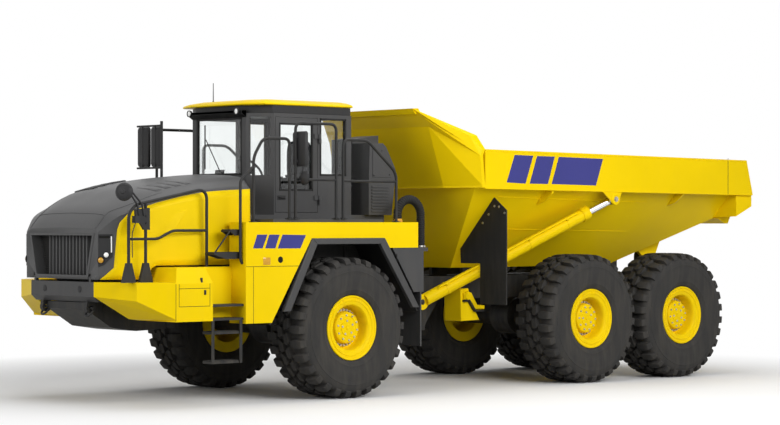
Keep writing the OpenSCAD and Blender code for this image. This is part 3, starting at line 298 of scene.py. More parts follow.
class Shape:
    """One piece in the making: forms gathered into a single mesh."""

    def __init__(self, x=0.0):
        self.bm = bmesh.new()
        self.shift = Vector((x, 0, 0))

    def spots(self, points):
        return [self.bm.verts.new(Vector(p) + self.shift) for p in points]

    def face(self, corners):
        if len(set(corners)) > 2:
            self.bm.faces.new(corners)

    def skin(self, rows, closed=False, caps=False):
        """Faces between rows of points; closed joins each row's end to its start."""
        rows = [self.spots(row) for row in rows]
        for low, high in zip(rows, rows[1:]):
            count = len(low)
            for i in range(count if closed else count - 1):
                j = (i + 1) % count
                self.face([low[i], low[j], high[j], high[i]])
        if caps:
            self.face(rows[0][::-1])
            self.face(rows[-1])
        return self

    def prism(self, outline, rise):
        outline = [Vector(p) for p in outline]
        return self.skin([outline, [p + Vector(rise) for p in outline]], True, True)

    def box(self, x, y, z):
        return self.prism([(x[0], y[0], z[0]), (x[1], y[0], z[0]), (x[1], y[1], z[0]), (x[0], y[1], z[0])],
                          (0, 0, z[1] - z[0]))

    def along_x(self, x, outline):
        return self.prism([(x[0], a, b) for a, b in outline], (x[1] - x[0], 0, 0))

    def along_y(self, y, outline):
        return self.prism([(a, y[0], b) for a, b in outline], (0, y[1] - y[0], 0))

    def rod(self, a, b, r, end_r=None, sides=16):
        a, b = Vector(a), Vector(b)
        u, v = upright(b - a)
        end_r = r if end_r is None else end_r
        return self.skin([ring(a, u, v, r, sides), ring(b, u, v, end_r, sides)], True, True)

    def pipe(self, points, r, bend=0.0, sides=12):
        """A round pipe; r is a radius, or gives one from the share of the way along."""
        path = rounded(points, bend) if bend else [Vector(p) for p in points]
        last = len(path) - 1
        rows = []
        u = v = None
        for i, p in enumerate(path):
            along = (path[min(i + 1, last)] - path[max(i - 1, 0)]).normalized()
            if u is None:
                u, v = upright(along)
            else:
                u = (u - along * u.dot(along)).normalized()
                v = u.cross(along).normalized()
            rows.append(ring(p, u, v, r(i / last) if callable(r) else r, sides))
        return self.skin(rows, True, True)

    def lathe(self, centre, axis, profile, sides=64):
        """Turns a profile of radius and reach about an axis."""
        centre, axis = Vector(centre), Vector(axis).normalized()
        u, v = upright(axis)
        return self.skin([ring(centre + axis * h, u, v, max(r, 1e-4), sides) for r, h in profile], True)

    def bolt(self, at, axis, r, h):
        at, axis = Vector(at), Vector(axis).normalized()
        self.rod(at, at + axis * h * 0.35, r * 1.35, sides=12)
        return self.rod(at + axis * h * 0.35, at + axis * h, r, sides=6)

    def mirrored(self):
        """Adds the same forms on the right."""
        made = bmesh.ops.duplicate(self.bm, geom=self.bm.verts[:] + self.bm.edges[:] + self.bm.faces[:])
        for item in made["geom"]:
            if isinstance(item, bmesh.types.BMVert):
                item.co.y = -item.co.y
        return self

    def mesh(self, name, material, smooth, closed=True):
        if closed:
            bmesh.ops.recalc_face_normals(self.bm, faces=self.bm.faces)
        mesh = bpy.data.meshes.new(name)
        self.bm.to_mesh(mesh)
        self.bm.free()
        mesh.materials.append(material)
        mesh.shade_smooth()
        mesh.set_sharp_from_angle(angle=math.radians(smooth))
        return mesh

    def done(self, name, material, body, bevel=0.0, smooth=35, thick=0.0, closed=True, replaces=None):
        """Makes the piece, softens its edges or gives its skin a wall, and sets it on its body."""
        piece = bpy.data.objects.new(name, self.mesh(name, material, smooth, closed))
        show(piece)
        if thick:
            wall = piece.modifiers.new("wall", "SOLIDIFY")
            wall.thickness = thick
            wall.offset = -1
        if bevel:
            edge = piece.modifiers.new("soft_edge", "BEVEL")
            edge.width = bevel
            edge.segments = 2
            edge.limit_method = "ANGLE"
            edge.angle_limit = math.radians(40)
        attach(piece, body)
        if replaces:
            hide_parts(replaces)


def front():
    return Shape(FRONT_X)


def rear():
    return Shape(MID_X)


def plate(name, quads, y, material, body, x, lift=0.0015):
    """Thin flat shapes on both flanks, from outlines in X and Z."""
    shape = Shape(x)
    for quad in quads:
        for s in (-1, 1):
            shape.prism([(a, s * y, b) for a, b in quad], (0, s * lift, 0))
    shape.done(name, material, body)


def pad_rows(half, layers, spot):
    """Rows of a small raised pad: its half sizes, then the share of the size and the level of each layer."""
    a, b = half
    corners = ((-a, -b), (a, -b), (a, b), (-a, b))
    return [[spot(p * share, q * share, level) for p, q in corners] for share, level in layers]


def ramp(pairs, x):
    """Value at x on the straight lines through pairs given in rising order."""
    if x <= pairs[0][0]:
        return pairs[0][1]
    for (x0, y0), (x1, y1) in zip(pairs, pairs[1:]):
        if x <= x1:
            return y0 + (y1 - y0) * (x - x0) / (x1 - x0)
    return pairs[-1][1]


def curve_at(pairs, x):
    """Value at x on a smooth curve through pairs that doesn't overshoot them."""
    n = len(pairs)
    step = [(pairs[i + 1][1] - pairs[i][1]) / (pairs[i + 1][0] - pairs[i][0]) for i in range(n - 1)]
    lean = [step[0]] + [0 if a * b <= 0 else 2 * a * b / (a + b) for a, b in zip(step, step[1:])] + [step[-1]]
    x = min(max(x, pairs[0][0]), pairs[-1][0])
    i = max(k for k in range(n - 1) if pairs[k][0] <= x)
    (x0, y0), (x1, y1) = pairs[i], pairs[i + 1]
    h = x1 - x0
    t = (x - x0) / h
    return ((1 + 2 * t) * (1 - t) ** 2 * y0 + t * (1 - t) ** 2 * h * lean[i]
            + t * t * (3 - 2 * t) * y1 + t * t * (t - 1) * h * lean[i + 1])


# Wheels

PITCHES = 30
LUG_DRAFT = 0.035
# Reach from the tyre's middle and radius, from the crown out to the shoulder
TREAD_TOP = [(0.0, 0.9375), (0.20, 0.936), (0.290, 0.932), (0.328, 0.918), (0.348, 0.892), (0.360, 0.848)]
TREAD_BASE = [(0.0, 0.876), (0.20, 0.875), (0.262, 0.868), (0.296, 0.858), (0.322, 0.844), (0.346, 0.826)]
# Place across the tread, from 0 at the middle to 5 low on the shoulder, and both flanks in pitches
SHOULDER_LUG = [(0.66, -0.20, 0.26), (1.0, -0.30, 0.32), (2.0, -0.32, 0.28), (3.0, -0.31, 0.27),
                (4.0, -0.30, 0.26), (5.0, -0.29, 0.25)]
MIDDLE_LUG = [(0.03, -0.34, 0.24), (0.30, -0.46, 0.40), (0.58, -0.36, 0.44)]
MIDDLE_LUG_SHIFT = 0.36
# Radius and reach from the wheel's middle
TYRE_WALL = [
    (0.3185, 0.298), (0.434, 0.300), (0.440, 0.318), (0.462, 0.338), (0.50, 0.352), (0.508, 0.358),
    (0.518, 0.358), (0.528, 0.3565), (0.58, 0.368), (0.64, 0.3735), (0.70, 0.3740), (0.745, 0.3700),
    (0.750, 0.3725), (0.758, 0.3725), (0.763, 0.3675), (0.80, 0.362), (0.835, 0.350), (0.858, 0.330),
    (0.872, 0.298), (0.879, 0.24), (0.880, 0.0)]
RIM_PROFILE = [
    (0.1005, -0.150), (0.180, -0.150), (0.180, 0.055), (0.290, 0.060), (0.290, -0.318), (0.432, -0.318),
    (0.432, -0.300), (0.318, -0.300), (0.318, 0.300), (0.429, 0.301), (0.432, 0.306), (0.432, 0.318),
    (0.426, 0.325), (0.412, 0.326), (0.404, 0.321), (0.400, 0.313), (0.378, 0.310), (0.374, 0.317),
    (0.362, 0.317), (0.356, 0.308), (0.340, 0.303), (0.318, 0.299), (0.306, 0.290), (0.296, 0.262),
    (0.291, 0.235), (0.290, 0.125), (0.284, 0.114), (0.258, 0.110), (0.258, 0.128), (0.252, 0.134),
    (0.222, 0.134), (0.214, 0.138), (0.212, 0.146), (0.210, 0.206), (0.204, 0.218), (0.186, 0.229),
    (0.150, 0.232), (0.147, 0.226), (0.112, 0.226), (0.108, 0.234), (0.0, 0.235)]
RIM_LOCK_REACH = 0.384
# Reach from the axle, place along it, bolt size and height, how many, where the ring starts
BOLT_RINGS = ((0.237, 0.133, 0.0125, 0.026, 28, 0.0), (0.168, 0.230, 0.010, 0.015, 10, 0.3),
              (0.092, 0.2335, 0.011, 0.012, 5, 0.15))
# Name, place and turn of each axle's wheels
AXLES = (("front", FRONT_X, 0.0), ("mid", MID_X, 0.13), ("rear", REAR_X, 0.31))
RIGHT_TURN = 0.09
TYRE_TURN = 0.21


def tread_block(shape, centre, side, edges):
    def spot(profile, s, turn):
        i = min(int(s), len(profile) - 2)
        (y0, r0), (y1, r1) = profile[i], profile[i + 1]
        y, r = y0 + (y1 - y0) * (s - i), r0 + (r1 - r0) * (s - i)
        angle = (centre + turn) * 2 * math.pi / PITCHES
        return (r * math.cos(angle), side * y, r * math.sin(angle))

    rows = []
    for k, (s, a, b) in enumerate(edges):
        end = 0.06 if k == 0 else (-0.10 if k == len(edges) - 1 else 0.0)
        top = [spot(TREAD_TOP, s + end, turn) for turn in (a + LUG_DRAFT, (a + b) / 2, b - LUG_DRAFT)]
        rows.append([spot(TREAD_BASE, s, a), *top, spot(TREAD_BASE, s, b)])
    shape.skin(rows, True, True)


def tyre_mesh():
    shape = Shape()
    shape.lathe((0, 0, 0), (0, 1, 0), TYRE_WALL + [(r, -h) for r, h in reversed(TYRE_WALL[:-1])], 128)
    for i in range(PITCHES):
        for side, offset in ((1, 0.0), (-1, 0.5)):
            tread_block(shape, i + offset, side, SHOULDER_LUG)
            tread_block(shape, i + offset + MIDDLE_LUG_SHIFT, side, MIDDLE_LUG)
    return shape.mesh("lugged_tyre", TYRE, 32)


def rim_mesh():
    shape = Shape()
    shape.lathe((0, 0, 0), (0, 1, 0), RIM_PROFILE, 96)
    shape.rod((0, 0.233, 0), (0, 0.243, 0), 0.034, 0.030, 24)
    for t in (1.2, 1.75, 1.95):
        x, z = RIM_LOCK_REACH * math.cos(t), RIM_LOCK_REACH * math.sin(t)
        shape.box((x - 0.012, x + 0.012), (0.308, 0.322), (z - 0.008, z + 0.008))
    shape.pipe([(0.10, 0.29, 0.276), (0.105, 0.315, 0.28), (0.12, 0.33, 0.315)], 0.006, 0.01, 8)
    return shape.mesh("dished_rim", YELLOW, 38)


def bolts_mesh():
    shape = Shape()
    for reach, y, r, h, count, start in BOLT_RINGS:
        for t in turns(count, start):
            shape.bolt((reach * math.cos(t), y, reach * math.sin(t)), (0, 1, 0), r, h)
    return shape.mesh("hub_bolts", STEEL, 38)


def fit_wheels():
    """One tyre, one rim and one set of bolts, copied to the six wheels and turned a little on each."""
    kinds = (("tyre", tyre_mesh(), TYRE_TURN, "tyre"), ("rim", rim_mesh(), 0.0, "rim_paint"),
             ("bolts", bolts_mesh(), 0.0, "rod_chrome"))
    for place, x, axle_turn in AXLES:
        for word, side in SIDES:
            for what, mesh, own_turn, slot in kinds:
                turned = mesh.copy()
                turn = own_turn + axle_turn + (RIGHT_TURN if side < 0 else 0.0)
                turned.transform(Matrix.Rotation(turn, 4, "Y"))
                piece = bpy.data.objects.new(f"{what}_dressed_{place}_{word}", turned)
                show(piece)
                piece.matrix_world = (Matrix.Translation((x, side * WHEEL_Y, AXLE_Z))
                                      @ Matrix.Rotation(0 if side > 0 else math.pi, 4, "Z"))
                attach(piece, f"wheel_{place}_{word}")
                if what != "bolts":
                    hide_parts(f"{what}_{place}_{word}")


fit_wheels()


# Hood, grille and lamps

NOSE_X = 3.480
HOOD_TAIL = 1.340
SIDE_ROWS = 10
CREASE_ROW = 12.2
# Place, half width at the foot, then half width and height of the side's top edge, the shoulder and the crown
STATIONS = [
    (HOOD_TAIL, 1.200, 1.180, 2.775, 0.960, 2.935, 0.500, 2.970),
    (2.000, 1.190, 1.165, 2.735, 0.950, 2.860, 0.500, 2.905),
    (2.700, 1.150, 1.120, 2.610, 0.900, 2.725, 0.500, 2.770),
    (3.090, 1.060, 1.040, 2.490, 0.780, 2.565, 0.500, 2.600),
    (3.280, 0.965, 0.955, 2.405, 0.665, 2.475, 0.500, 2.488),
    (3.435, 0.845, 0.845, 2.265, 0.705, 2.315, 0.600, 2.330),
    (NOSE_X, 0.810, 0.810, 2.215, 0.700, 2.255, 0.600, 2.262)]
# Height and place of the line where the gray cover meets the yellow sides
PAINT_EDGE = [(1.610, 3.470), (1.760, 3.325), (2.290, 3.285), (2.400, 3.225), (2.480, 3.130)]
# Place and height of the hood's lower edge
HOOD_FOOT = [(2.860, 1.792), (2.930, 1.618)]
# Way out of the hood's front corner, in X and Y
CORNER_OUT = (0.62, 0.78)
# Span in Y and top of the notch for each hinge post
HINGE_NOTCH = ((0.594, 0.648), 1.690)
# Y and Z of the corners of the hole in the hood's nose and of the grille frame's inner and outer edges
NOSE_HOLE = [(0.583, 1.652), (0.708, 2.190), (-0.708, 2.190), (-0.583, 1.652)]
FRAME_IN = [(0.565, 1.670), (0.688, 2.172), (-0.688, 2.172), (-0.565, 1.670)]
FRAME_OUT = [(0.598, 1.640), (0.732, 2.202), (-0.732, 2.202), (-0.598, 1.640)]
GRILLE_BACK = 3.312
GRILLE_BARS = 12
SCREEN_SLATS = 17
# Place, height and radius of the round lamps, and the lamp panels' top edge
HEADLAMP = (3.398, 1.930, 0.032)
TURN_LAMP = (3.452, 1.862, 0.037)
LAMP_PANEL_TOP = 2.190


def station(x):
    return [curve_at([(s[0], s[k]) for s in STATIONS], x) for k in range(1, 8)]


def hood_spot(x, row):
    """Point on the hood's left half; rows to SIDE_ROWS climb the side, later ones cross to the middle."""
    foot_y, top_y, top_z, shoulder_y, shoulder_z, crown_y, crown_z = station(x)
    if row <= SIDE_ROWS:
        t = row / SIDE_ROWS
        foot_z = ramp(HOOD_FOOT, x)
        return Vector((x, foot_y + (top_y - foot_y) * t, foot_z + (top_z - foot_z) * t))
    t = row - SIDE_ROWS
    knots = [(0, top_y, top_z), (3, shoulder_y, shoulder_z), (5, crown_y, crown_z), (9, 0.0, crown_z + 0.012)]
    return Vector((x, curve_at([(k[0], k[1]) for k in knots], t), curve_at([(k[0], k[2]) for k in knots], t)))


def paint_edge_x(row):
    x = 3.3
    for _ in range(12):
        x = ramp(PAINT_EDGE, hood_spot(x, min(row, SIDE_ROWS)).z)
    return x


def hood_row(row, nose, tail, count):
    return [hood_spot(nose + (tail - nose) * i / count, row) for i in range(count + 1)]


def corner_spots(places, lift, side):
    """Points on the hood's side at pairs of X and Z, lifted off the skin."""
    spots = []
    for x, z in places:
        foot_y, top_y, top_z = station(x)[:3]
        foot_z = ramp(HOOD_FOOT, x)
        y = foot_y + (top_y - foot_y) * (z - foot_z) / (top_z - foot_z)
        spots.append(Vector((x + CORNER_OUT[0] * lift, side * (y + CORNER_OUT[1] * lift), z)))
    return spots


def dress_hood_skin():
    rows = range(SIDE_ROWS + 10)
    panels = front()
    panels.skin([hood_row(r, paint_edge_x(r), HOOD_TAIL, 36) for r in range(SIDE_ROWS + 1)])
    panels.mirrored().done("hood_side_panels", YELLOW, "hood", smooth=50, thick=0.03, replaces="hood_sides")
    cover = front()
    cover.skin([hood_row(r, NOSE_X, paint_edge_x(r), 12) for r in rows])
    cover.skin([hood_row(r, paint_edge_x(SIDE_ROWS), HOOD_TAIL, 34) for r in rows if r >= SIDE_ROWS])
    cover.mirrored()
    left = [(p.y, p.z) for p in (hood_spot(NOSE_X, r) for r in rows)]
    outline = left + [(-y, z) for y, z in reversed(left[:-1])]
    foot = left[0][1]
    (inner, outer), top = HINGE_NOTCH
    notch = [(inner, foot), (inner, top), (outer, top), (outer, foot)]
    for side in (-1, 1):
        outline += [(side * y, z) for y, z in notch[::side]]
    edges = []
    for loop in (outline, NOSE_HOLE):
        spots = cover.spots([(NOSE_X, y, z) for y, z in loop])
        edges += [cover.bm.edges.new(pair) for pair in zip(spots, spots[1:] + spots[:1])]
    bmesh.ops.triangle_fill(cover.bm, use_beauty=True, edges=edges, normal=(1, 0, 0))
    bmesh.ops.remove_doubles(cover.bm, verts=cover.bm.verts, dist=0.0005)
    cover.done("hood_cover", LIT_HOOD_GRAY, "hood", smooth=28, thick=0.03, replaces="hood_top")


def dress_grille():
    """The grille's bars and slatted side screens, set back in their frame."""
    wall = [(y * 1.012, z + (0.006 if z > 2 else -0.006)) for y, z in FRAME_IN]
    bezel = front()
    bezel.skin([[(x, y, z) for y, z in loop] for x, loop in (
        (3.440, FRAME_OUT), (3.486, FRAME_OUT), (3.490, FRAME_IN), (GRILLE_BACK, FRAME_IN),
        (GRILLE_BACK, wall), (3.440, wall), (3.440, FRAME_OUT))], True)
    bezel.done("grille_frame", LIT_HOOD_GRAY, "hood", bevel=0.004, replaces="grille")
    bars = front()
    for i in range(GRILLE_BARS):
        y = -0.420 + 0.840 * i / (GRILLE_BARS - 1)
        foot = ((3.335, -0.024), (3.385, -0.012), (3.385, 0.012), (3.335, 0.024))
        bars.prism([(x, y + dy, 1.672) for x, dy in foot], (0, 0, 0.498))
    bars.done("grille_bars", LIT_HOOD_GRAY, "hood", bevel=0.004, replaces="grille")
    core = front()
    for i in range(SCREEN_SLATS):
        z = 1.690 + 0.464 * i / (SCREEN_SLATS - 1)
        reach = ramp([(1.670, 0.562), (2.172, 0.684)], z)
        for s in (-1, 1):
            core.box((3.328, 3.352), sorted((s * 0.455, s * reach)), (z - 0.006, z + 0.006))
    core.prism([(GRILLE_BACK, y, z) for y, z in FRAME_IN], (0.014, 0, 0))
    core.done("grille_core", BLACK, "hood")


def dress_lamps():
    """Lamp panels wrapped round the hood's front corners."""
    places = [3.476, 3.450, 3.420, 3.390, 3.360, 3.335]
    feet = [(3.335, 1.905), (3.360, 1.880), (3.420, 1.800), (3.476, 1.775)]
    columns = []
    for x in places:
        foot = ramp(feet, x)
        columns.append([(x, foot + (LAMP_PANEL_TOP - foot) * k / 8) for k in range(9)])
    edge = [column[0] for column in columns] + [(x, LAMP_PANEL_TOP) for x in reversed(places)]
    strip = ((3.352, 1.960), (3.340, 1.960), (3.340, 2.165), (3.352, 2.165))
    slot = ((3.468, 2.140), (3.362, 2.140), (3.362, 2.172), (3.468, 2.172))
    lifts = (-0.004, 0.008)
    for word, side in SIDES:
        out = Vector((CORNER_OUT[0], side * CORNER_OUT[1], 0))
        panel = front()
        for lift in lifts:
            panel.skin([corner_spots(column, lift, side) for column in columns])
        panel.skin([corner_spots(edge, lift, side) for lift in lifts], True)
        panel.done(f"lamp_panel_{word}", MOULDED, "hood", smooth=40)
        lamp, turn, rings = front(), front(), front()
        lamp.lathe(corner_spots([HEADLAMP[:2]], 0.008, side)[0], out,
                   [(0.0, 0.022), (0.018, 0.020), (0.030, 0.010), (HEADLAMP[2], 0.0)], 32)
        lamp.prism(corner_spots(strip, 0.006, side), out * 0.014)
        lamp.done(f"headlamp_{word}", CLEAR, "hood", bevel=0.002, replaces="headlamps")
        turn.lathe(corner_spots([TURN_LAMP[:2]], 0.008, side)[0], out,
                   [(0.0, 0.024), (0.020, 0.022), (0.034, 0.012), (TURN_LAMP[2], 0.0)], 32)
        turn.done(f"turn_lamp_{word}", AMBER, "hood")
        for x, z, r in (HEADLAMP, TURN_LAMP):
            rings.lathe(corner_spots([(x, z)], 0.006, side)[0], out,
                        [(r, 0.0), (r, 0.012), (r + 0.008, 0.012), (r + 0.008, 0.0)], 32)
        rings.prism(corner_spots(slot, 0.006, side), out * 0.006)
        rings.done(f"lamp_rings_{word}", SEAM_AND_SHADE, "hood", bevel=0.001)


def dress_hood_relief():
    vents = front()
    for x in (2.62, 2.47, 2.32, 2.17):
        vents.skin([[hood_spot(x + dx, r) + Vector((0, 0, dz)) for r in (13, 14, 15)]
                    for dx, dz in ((-0.050, 0.001), (-0.02, 0.007), (0.025, 0.008), (0.045, 0.001))])
    vents.mirrored().done("hood_vents", LIT_HOOD_GRAY, "hood", smooth=60, thick=0.012, closed=False)
    crease = front()
    crease.pipe([hood_spot(3.470 - 0.85 * i / 24, CREASE_ROW) for i in range(25)],
                lambda t: 0.009 - 0.006 * t, 0, 8)
    crease.pipe([hood_spot(3.325, CREASE_ROW + 6.8 * i / 20) for i in range(21)], 0.006, 0, 8)
    crease.mirrored().done("hood_creases", LIT_HOOD_GRAY, "hood", smooth=60)


dress_hood_skin()
dress_grille()
dress_lamps()
dress_hood_relief()


# Rails and mirrors

DECK_RAIL_Y = 1.530
HOOD_RAIL_Y = 1.260
DECK_Z = 2.380
FENDER_Z = 2.340
RAIL_R = 0.020
RIGHT_POST = (1.100, -1.090)
RIGHT_ARMS = (3.095, 3.680)


def rail(shape, y, path, r=RAIL_R, bend=0.0):
    shape.pipe([(x, y, z) for x, z in path], r, bend)


def rail_feet(shape, spots):
    y = DECK_RAIL_Y
    for x, base in spots:
        shape.box((x - 0.045, x + 0.045), (y - 0.04, y + 0.04), (base, base + 0.012))
        for dx in (-0.03, 0.03):
            shape.bolt((x + dx, y, base + 0.012), (0, 0, 1), 0.008, 0.012)


def dress_rails():
    rails = front()
    y = DECK_RAIL_Y
    rail(rails, y, [(0.860, DECK_Z), (0.860, 3.640), (0.160, 3.640), (0.160, DECK_Z)], bend=0.10)
    rail(rails, y, [(0.860, 2.900), (0.160, 2.900)], 0.017)
    rail(rails, y, [(0.040, DECK_Z), (0.040, 3.440), (-0.390, 3.440), (-0.910, 3.010), (-0.910, FENDER_Z)],
         bend=0.10)
    rail(rails, y, [(0.040, 2.890), (-0.910, 2.890)], 0.017)
    rail_feet(rails, [(0.860, DECK_Z), (0.160, DECK_Z), (0.040, DECK_Z), (-0.910, FENDER_Z)])
    rails.mirrored()
    rail_feet(rails, [(1.560, FENDER_Z), (0.960, DECK_Z)])
    rail(rails, y, [(1.560, FENDER_Z), (1.560, 3.180), (1.400, 3.430), (0.960, 3.430), (0.960, DECK_Z)],
         bend=0.09)
    y = HOOD_RAIL_Y
    rail(rails, y, [(3.330, 1.585), (3.330, 2.440), (3.230, 2.560), (2.200, 2.760), (2.110, 2.700),
                    (2.110, 1.770)], bend=0.07)
    rail(rails, y, [(3.070, 1.585), (3.070, 2.580)])
    rail(rails, y, [(3.330, 2.130), (2.880, 2.130), (2.650, 2.235), (2.110, 2.235)], 0.018, 0.06)
    for x in (3.330, 3.070):
        foot = [(x - 0.10, 1.585), (x + 0.10, 1.585), (x + 0.035, 1.830), (x - 0.035, 1.830)]
        rails.along_y((1.235, 1.285), foot)
    rails.along_y((1.250, 1.284), [(3.02, 2.245), (3.11, 2.245), (3.24, 2.430), (3.24, 2.500), (3.02, 2.520)])
    rail(rails, DECK_RAIL_Y, [(1.560, 3.060), (1.775, 2.880), (1.775, 1.860), (1.742, 1.810)], 0.019, 0.06)
    rails.done("handrails_bent", BLACK, "front_unit", replaces="handrails")


def mirror_head(shape, back, middle, half):
    """A tall mirror's rounded shell: place of its glass side, then middle and half size in Y and Z."""
    outline = ((1, -.9), (1, .9), (.85, 1), (-.85, 1), (-1, .9), (-1, -.9), (-.85, -1), (.85, -1))
    layers = ((0.0, 0.93), (0.006, 0.99), (0.025, 1.0), (0.048, 0.95), (0.058, 0.80))
    (y, z), (wide, tall) = middle, half
    shape.skin([[(back + dx, y + wide * share * a, z + tall * share * b) for a, b in outline]
                for dx, share in layers], True, True)


def dress_mirrors():
    heads, glass = front(), front()
    look = Vector((0.80, 0.60, 0.08)).normalized()
    hub = Vector((3.425, 1.297, 2.720))
    heads.lathe(hub, look, [(0.0, 0.050), (0.050, 0.046), (0.092, 0.034), (0.110, 0.010), (0.116, -0.004),
                            (0.108, -0.010), (0.0, -0.010)], 48)
    glass.lathe(hub, look, [(0.0, -0.0125), (0.102, -0.0125), (0.104, -0.009)], 48)
    heads.lathe(hub, look, [(0.0, 0.062), (0.026, 0.060), (0.034, 0.046)], 24)
    for inset, top in ((0.0, 2.690), (0.075, 2.740)):
        heads.pipe([hub - look * 0.008, hub + Vector((-0.10, 0, top - 2.720)), (3.220 - inset, 1.292, 2.560),
                    (3.190 - inset, 1.286, 2.420)], 0.012, 0.04)
    for z in (2.330, 2.420):
        heads.bolt((3.075, 1.284, z), (0, 1, 0), 0.012, 0.012)
    heads.box((3.215, 3.285), (1.270, 1.340), (2.330, 2.420))
    heads.pipe([(3.250, 1.300, 2.340), (3.300, 1.290, 2.200), (3.290, 1.285, 1.900)], 0.006, 0.05, 8)
    places = [(0.780, (1.565, 3.300), (0.135, 0.230)), (1.040, (-1.245, 3.390), (0.115, 0.280)),
              (1.040, (-1.545, 3.390), (0.130, 0.280))]
    for back, middle, half in places:
        mirror_head(heads, back, middle, half)
        wide, tall = half[0] * 0.86, half[1] * 0.88
        glass.box((back - 0.003, back + 0.003), (middle[0] - wide, middle[0] + wide),
                  (middle[1] - tall, middle[1] + tall))
    heads.lathe((0.795, 1.635, 2.918), (1, 0, 0), [
        (0.0, 0.045), (0.040, 0.041), (0.078, 0.022), (0.094, 0.004), (0.096, -0.004), (0.0, -0.004)], 40)
    heads.pipe([(0.818, 1.635, 2.990), (0.818, 1.635, 3.090)], 0.012)
    for z in (3.140, 3.460):
        heads.box((0.826, 0.884), (DECK_RAIL_Y - 0.026, DECK_RAIL_Y + 0.026), (z - 0.022, z + 0.022))
    x, y = RIGHT_POST
    heads.pipe([(x, y, DECK_Z), (x, y, 3.740)], 0.020)
    heads.box((x - 0.045, x + 0.045), (y - 0.040, y + 0.040), (DECK_Z, DECK_Z + 0.012))
    for z in RIGHT_ARMS:
        heads.pipe([(x, y, z), (x, -1.660, z)], 0.014)
    for y in (-1.245, -1.545):
        heads.pipe([(1.095, y, z) for z in RIGHT_ARMS], 0.012)
    heads.done("mirror_heads", MOULDED, "front_unit", smooth=40, replaces="mirrors")
    glass.done("mirror_faces", MIRROR, "front_unit", bevel=0.001)


dress_rails()
dress_mirrors()


# Cab

def roof_outline(nose, corner, tail_x):
    """The roof's six corners, from the left ends of its nose and of its side, and its rear edge."""
    (x0, y0), (x1, y1) = nose, corner
    return [(x0, -y0), (x0, y0), (x1, y1), (tail_x, y1), (tail_x, -y1), (x1, -y1)]


ROOF_EDGE = roof_outline((1.000, 0.560), (0.870, 0.910), -0.670)
ROOF_CROWN = roof_outline((0.820, 0.480), (0.720, 0.760), -0.540)
ROOF_NECK = roof_outline((0.932, 0.510), (0.720, 0.880), -0.652)
# Share of the way from the roof's edge to its crown, and height
ROOF_LEVELS = ((0.12, 3.904), (0.0, 3.912), (0.0, 3.926), (0.10, 3.942), (0.45, 3.966), (1.0, 3.984))
ROOF_LAMP_Z = 3.822
CAB_FLOOR = 2.442


def dress_roof():
    def level(share, z):
        return [(a[0] + (b[0] - a[0]) * share, a[1] + (b[1] - a[1]) * share, z)
                for a, b in zip(ROOF_EDGE, ROOF_CROWN)]

    roof = front()
    roof.skin([level(share, z) for share, z in ROOF_LEVELS], True, True)
    roof.done("roof_skin", YELLOW, "front_unit", bevel=0.004, smooth=40, replaces="cab_roof")
    neck = front()
    neck.skin([[(x, y, z) for x, y in ROOF_NECK] for z in (3.800, 3.906)], True, True)
    neck.done("roof_neck", MOULDED, "front_unit", bevel=0.006)
    visor = front()
    visor.along_y((-0.60, 0.60), [(0.942, 3.742), (1.030, 3.800), (1.030, 3.838), (0.942, 3.838)])
    visor.mirrored().done("cab_visor", MOULDED, "front_unit", bevel=0.006)
    heads, lenses = front(), front()
    for y in (-0.52, 0.52):
        heads.lathe((1.020, y, ROOF_LAMP_Z), (1, 0, 0), [
            (0.0, 0.0), (0.040, 0.004), (0.046, 0.020), (0.046, 0.040), (0.040, 0.042), (0.038, 0.034)], 32)
        lenses.lathe((1.050, y, ROOF_LAMP_Z), (1, 0, 0), [
            (0.0, 0.016), (0.022, 0.013), (0.035, 0.004), (0.038, 0.0)], 32)
    heads.rod((0.500, -0.700, 3.975), (0.500, -0.700, 4.020), 0.016, 0.012)
    heads.rod((0.500, -0.700, 4.020), (0.500, -0.700, 4.270), 0.007, 0.005, 8)
    heads.done("roof_lamp_heads", MOULDED, "front_unit", smooth=40, replaces="roof_lamps")
    lenses.done("roof_lamp_lenses", CLEAR, "front_unit")


def seal_strips(across, up, width):
    """The four strips round a window, as spans across and up."""
    (a0, a1), (z0, z1) = across, up
    return ((across, (z0, z0 + width)), (across, (z1 - width, z1)),
            ((a0, a0 + width), up), ((a1 - width, a1), up))


def dress_cab_walls():
    seals = front()
    for across, up in seal_strips((-0.50, 0.50), (2.970, 3.750), 0.03):
        seals.box((0.917, 0.944), across, up)
    for s in (-1, 1):
        for across, up in seal_strips((-0.570, -0.100), (2.970, 3.750), 0.025):
            seals.box(across, sorted((s * 0.862, s * 0.889)), up)
    seals.done("window_seals", FLAP, "front_unit", bevel=0.003)
    wiper = front()
    wiper.pipe([(0.950, 0.10, 3.00), (0.966, 0.06, 3.02), (0.962, -0.26, 3.46)], 0.007, 0.02, 8)
    wiper.box((0.948, 0.960), (-0.30, -0.285), (3.06, 3.66))
    wiper.lathe((0.943, 0.10, 3.00), (1, 0, 0), [
        (0.022, 0.0), (0.022, 0.012), (0.012, 0.022), (0.0, 0.022)], 20)
    wiper.done("screen_wiper", MOULDED, "front_unit")
    handle = front()
    handle.box((0.500, 0.640), (0.884, 0.890), (2.640, 2.700))
    grip = ((0.520, 0.888), (0.525, 0.918), (0.615, 0.918), (0.620, 0.888))
    handle.pipe([(x, y, 2.670) for x, y in grip], 0.009, 0.02, 10)
    handle.done("door_handle", MOULDED, "door", bevel=0.003)
    trim = front()
    for across, up in seal_strips((0.020, 0.610), (2.760, 3.670), 0.025):
        trim.box(across, (0.858, 0.888), up)
    trim.done("door_window_seal", FLAP, "door", bevel=0.003)


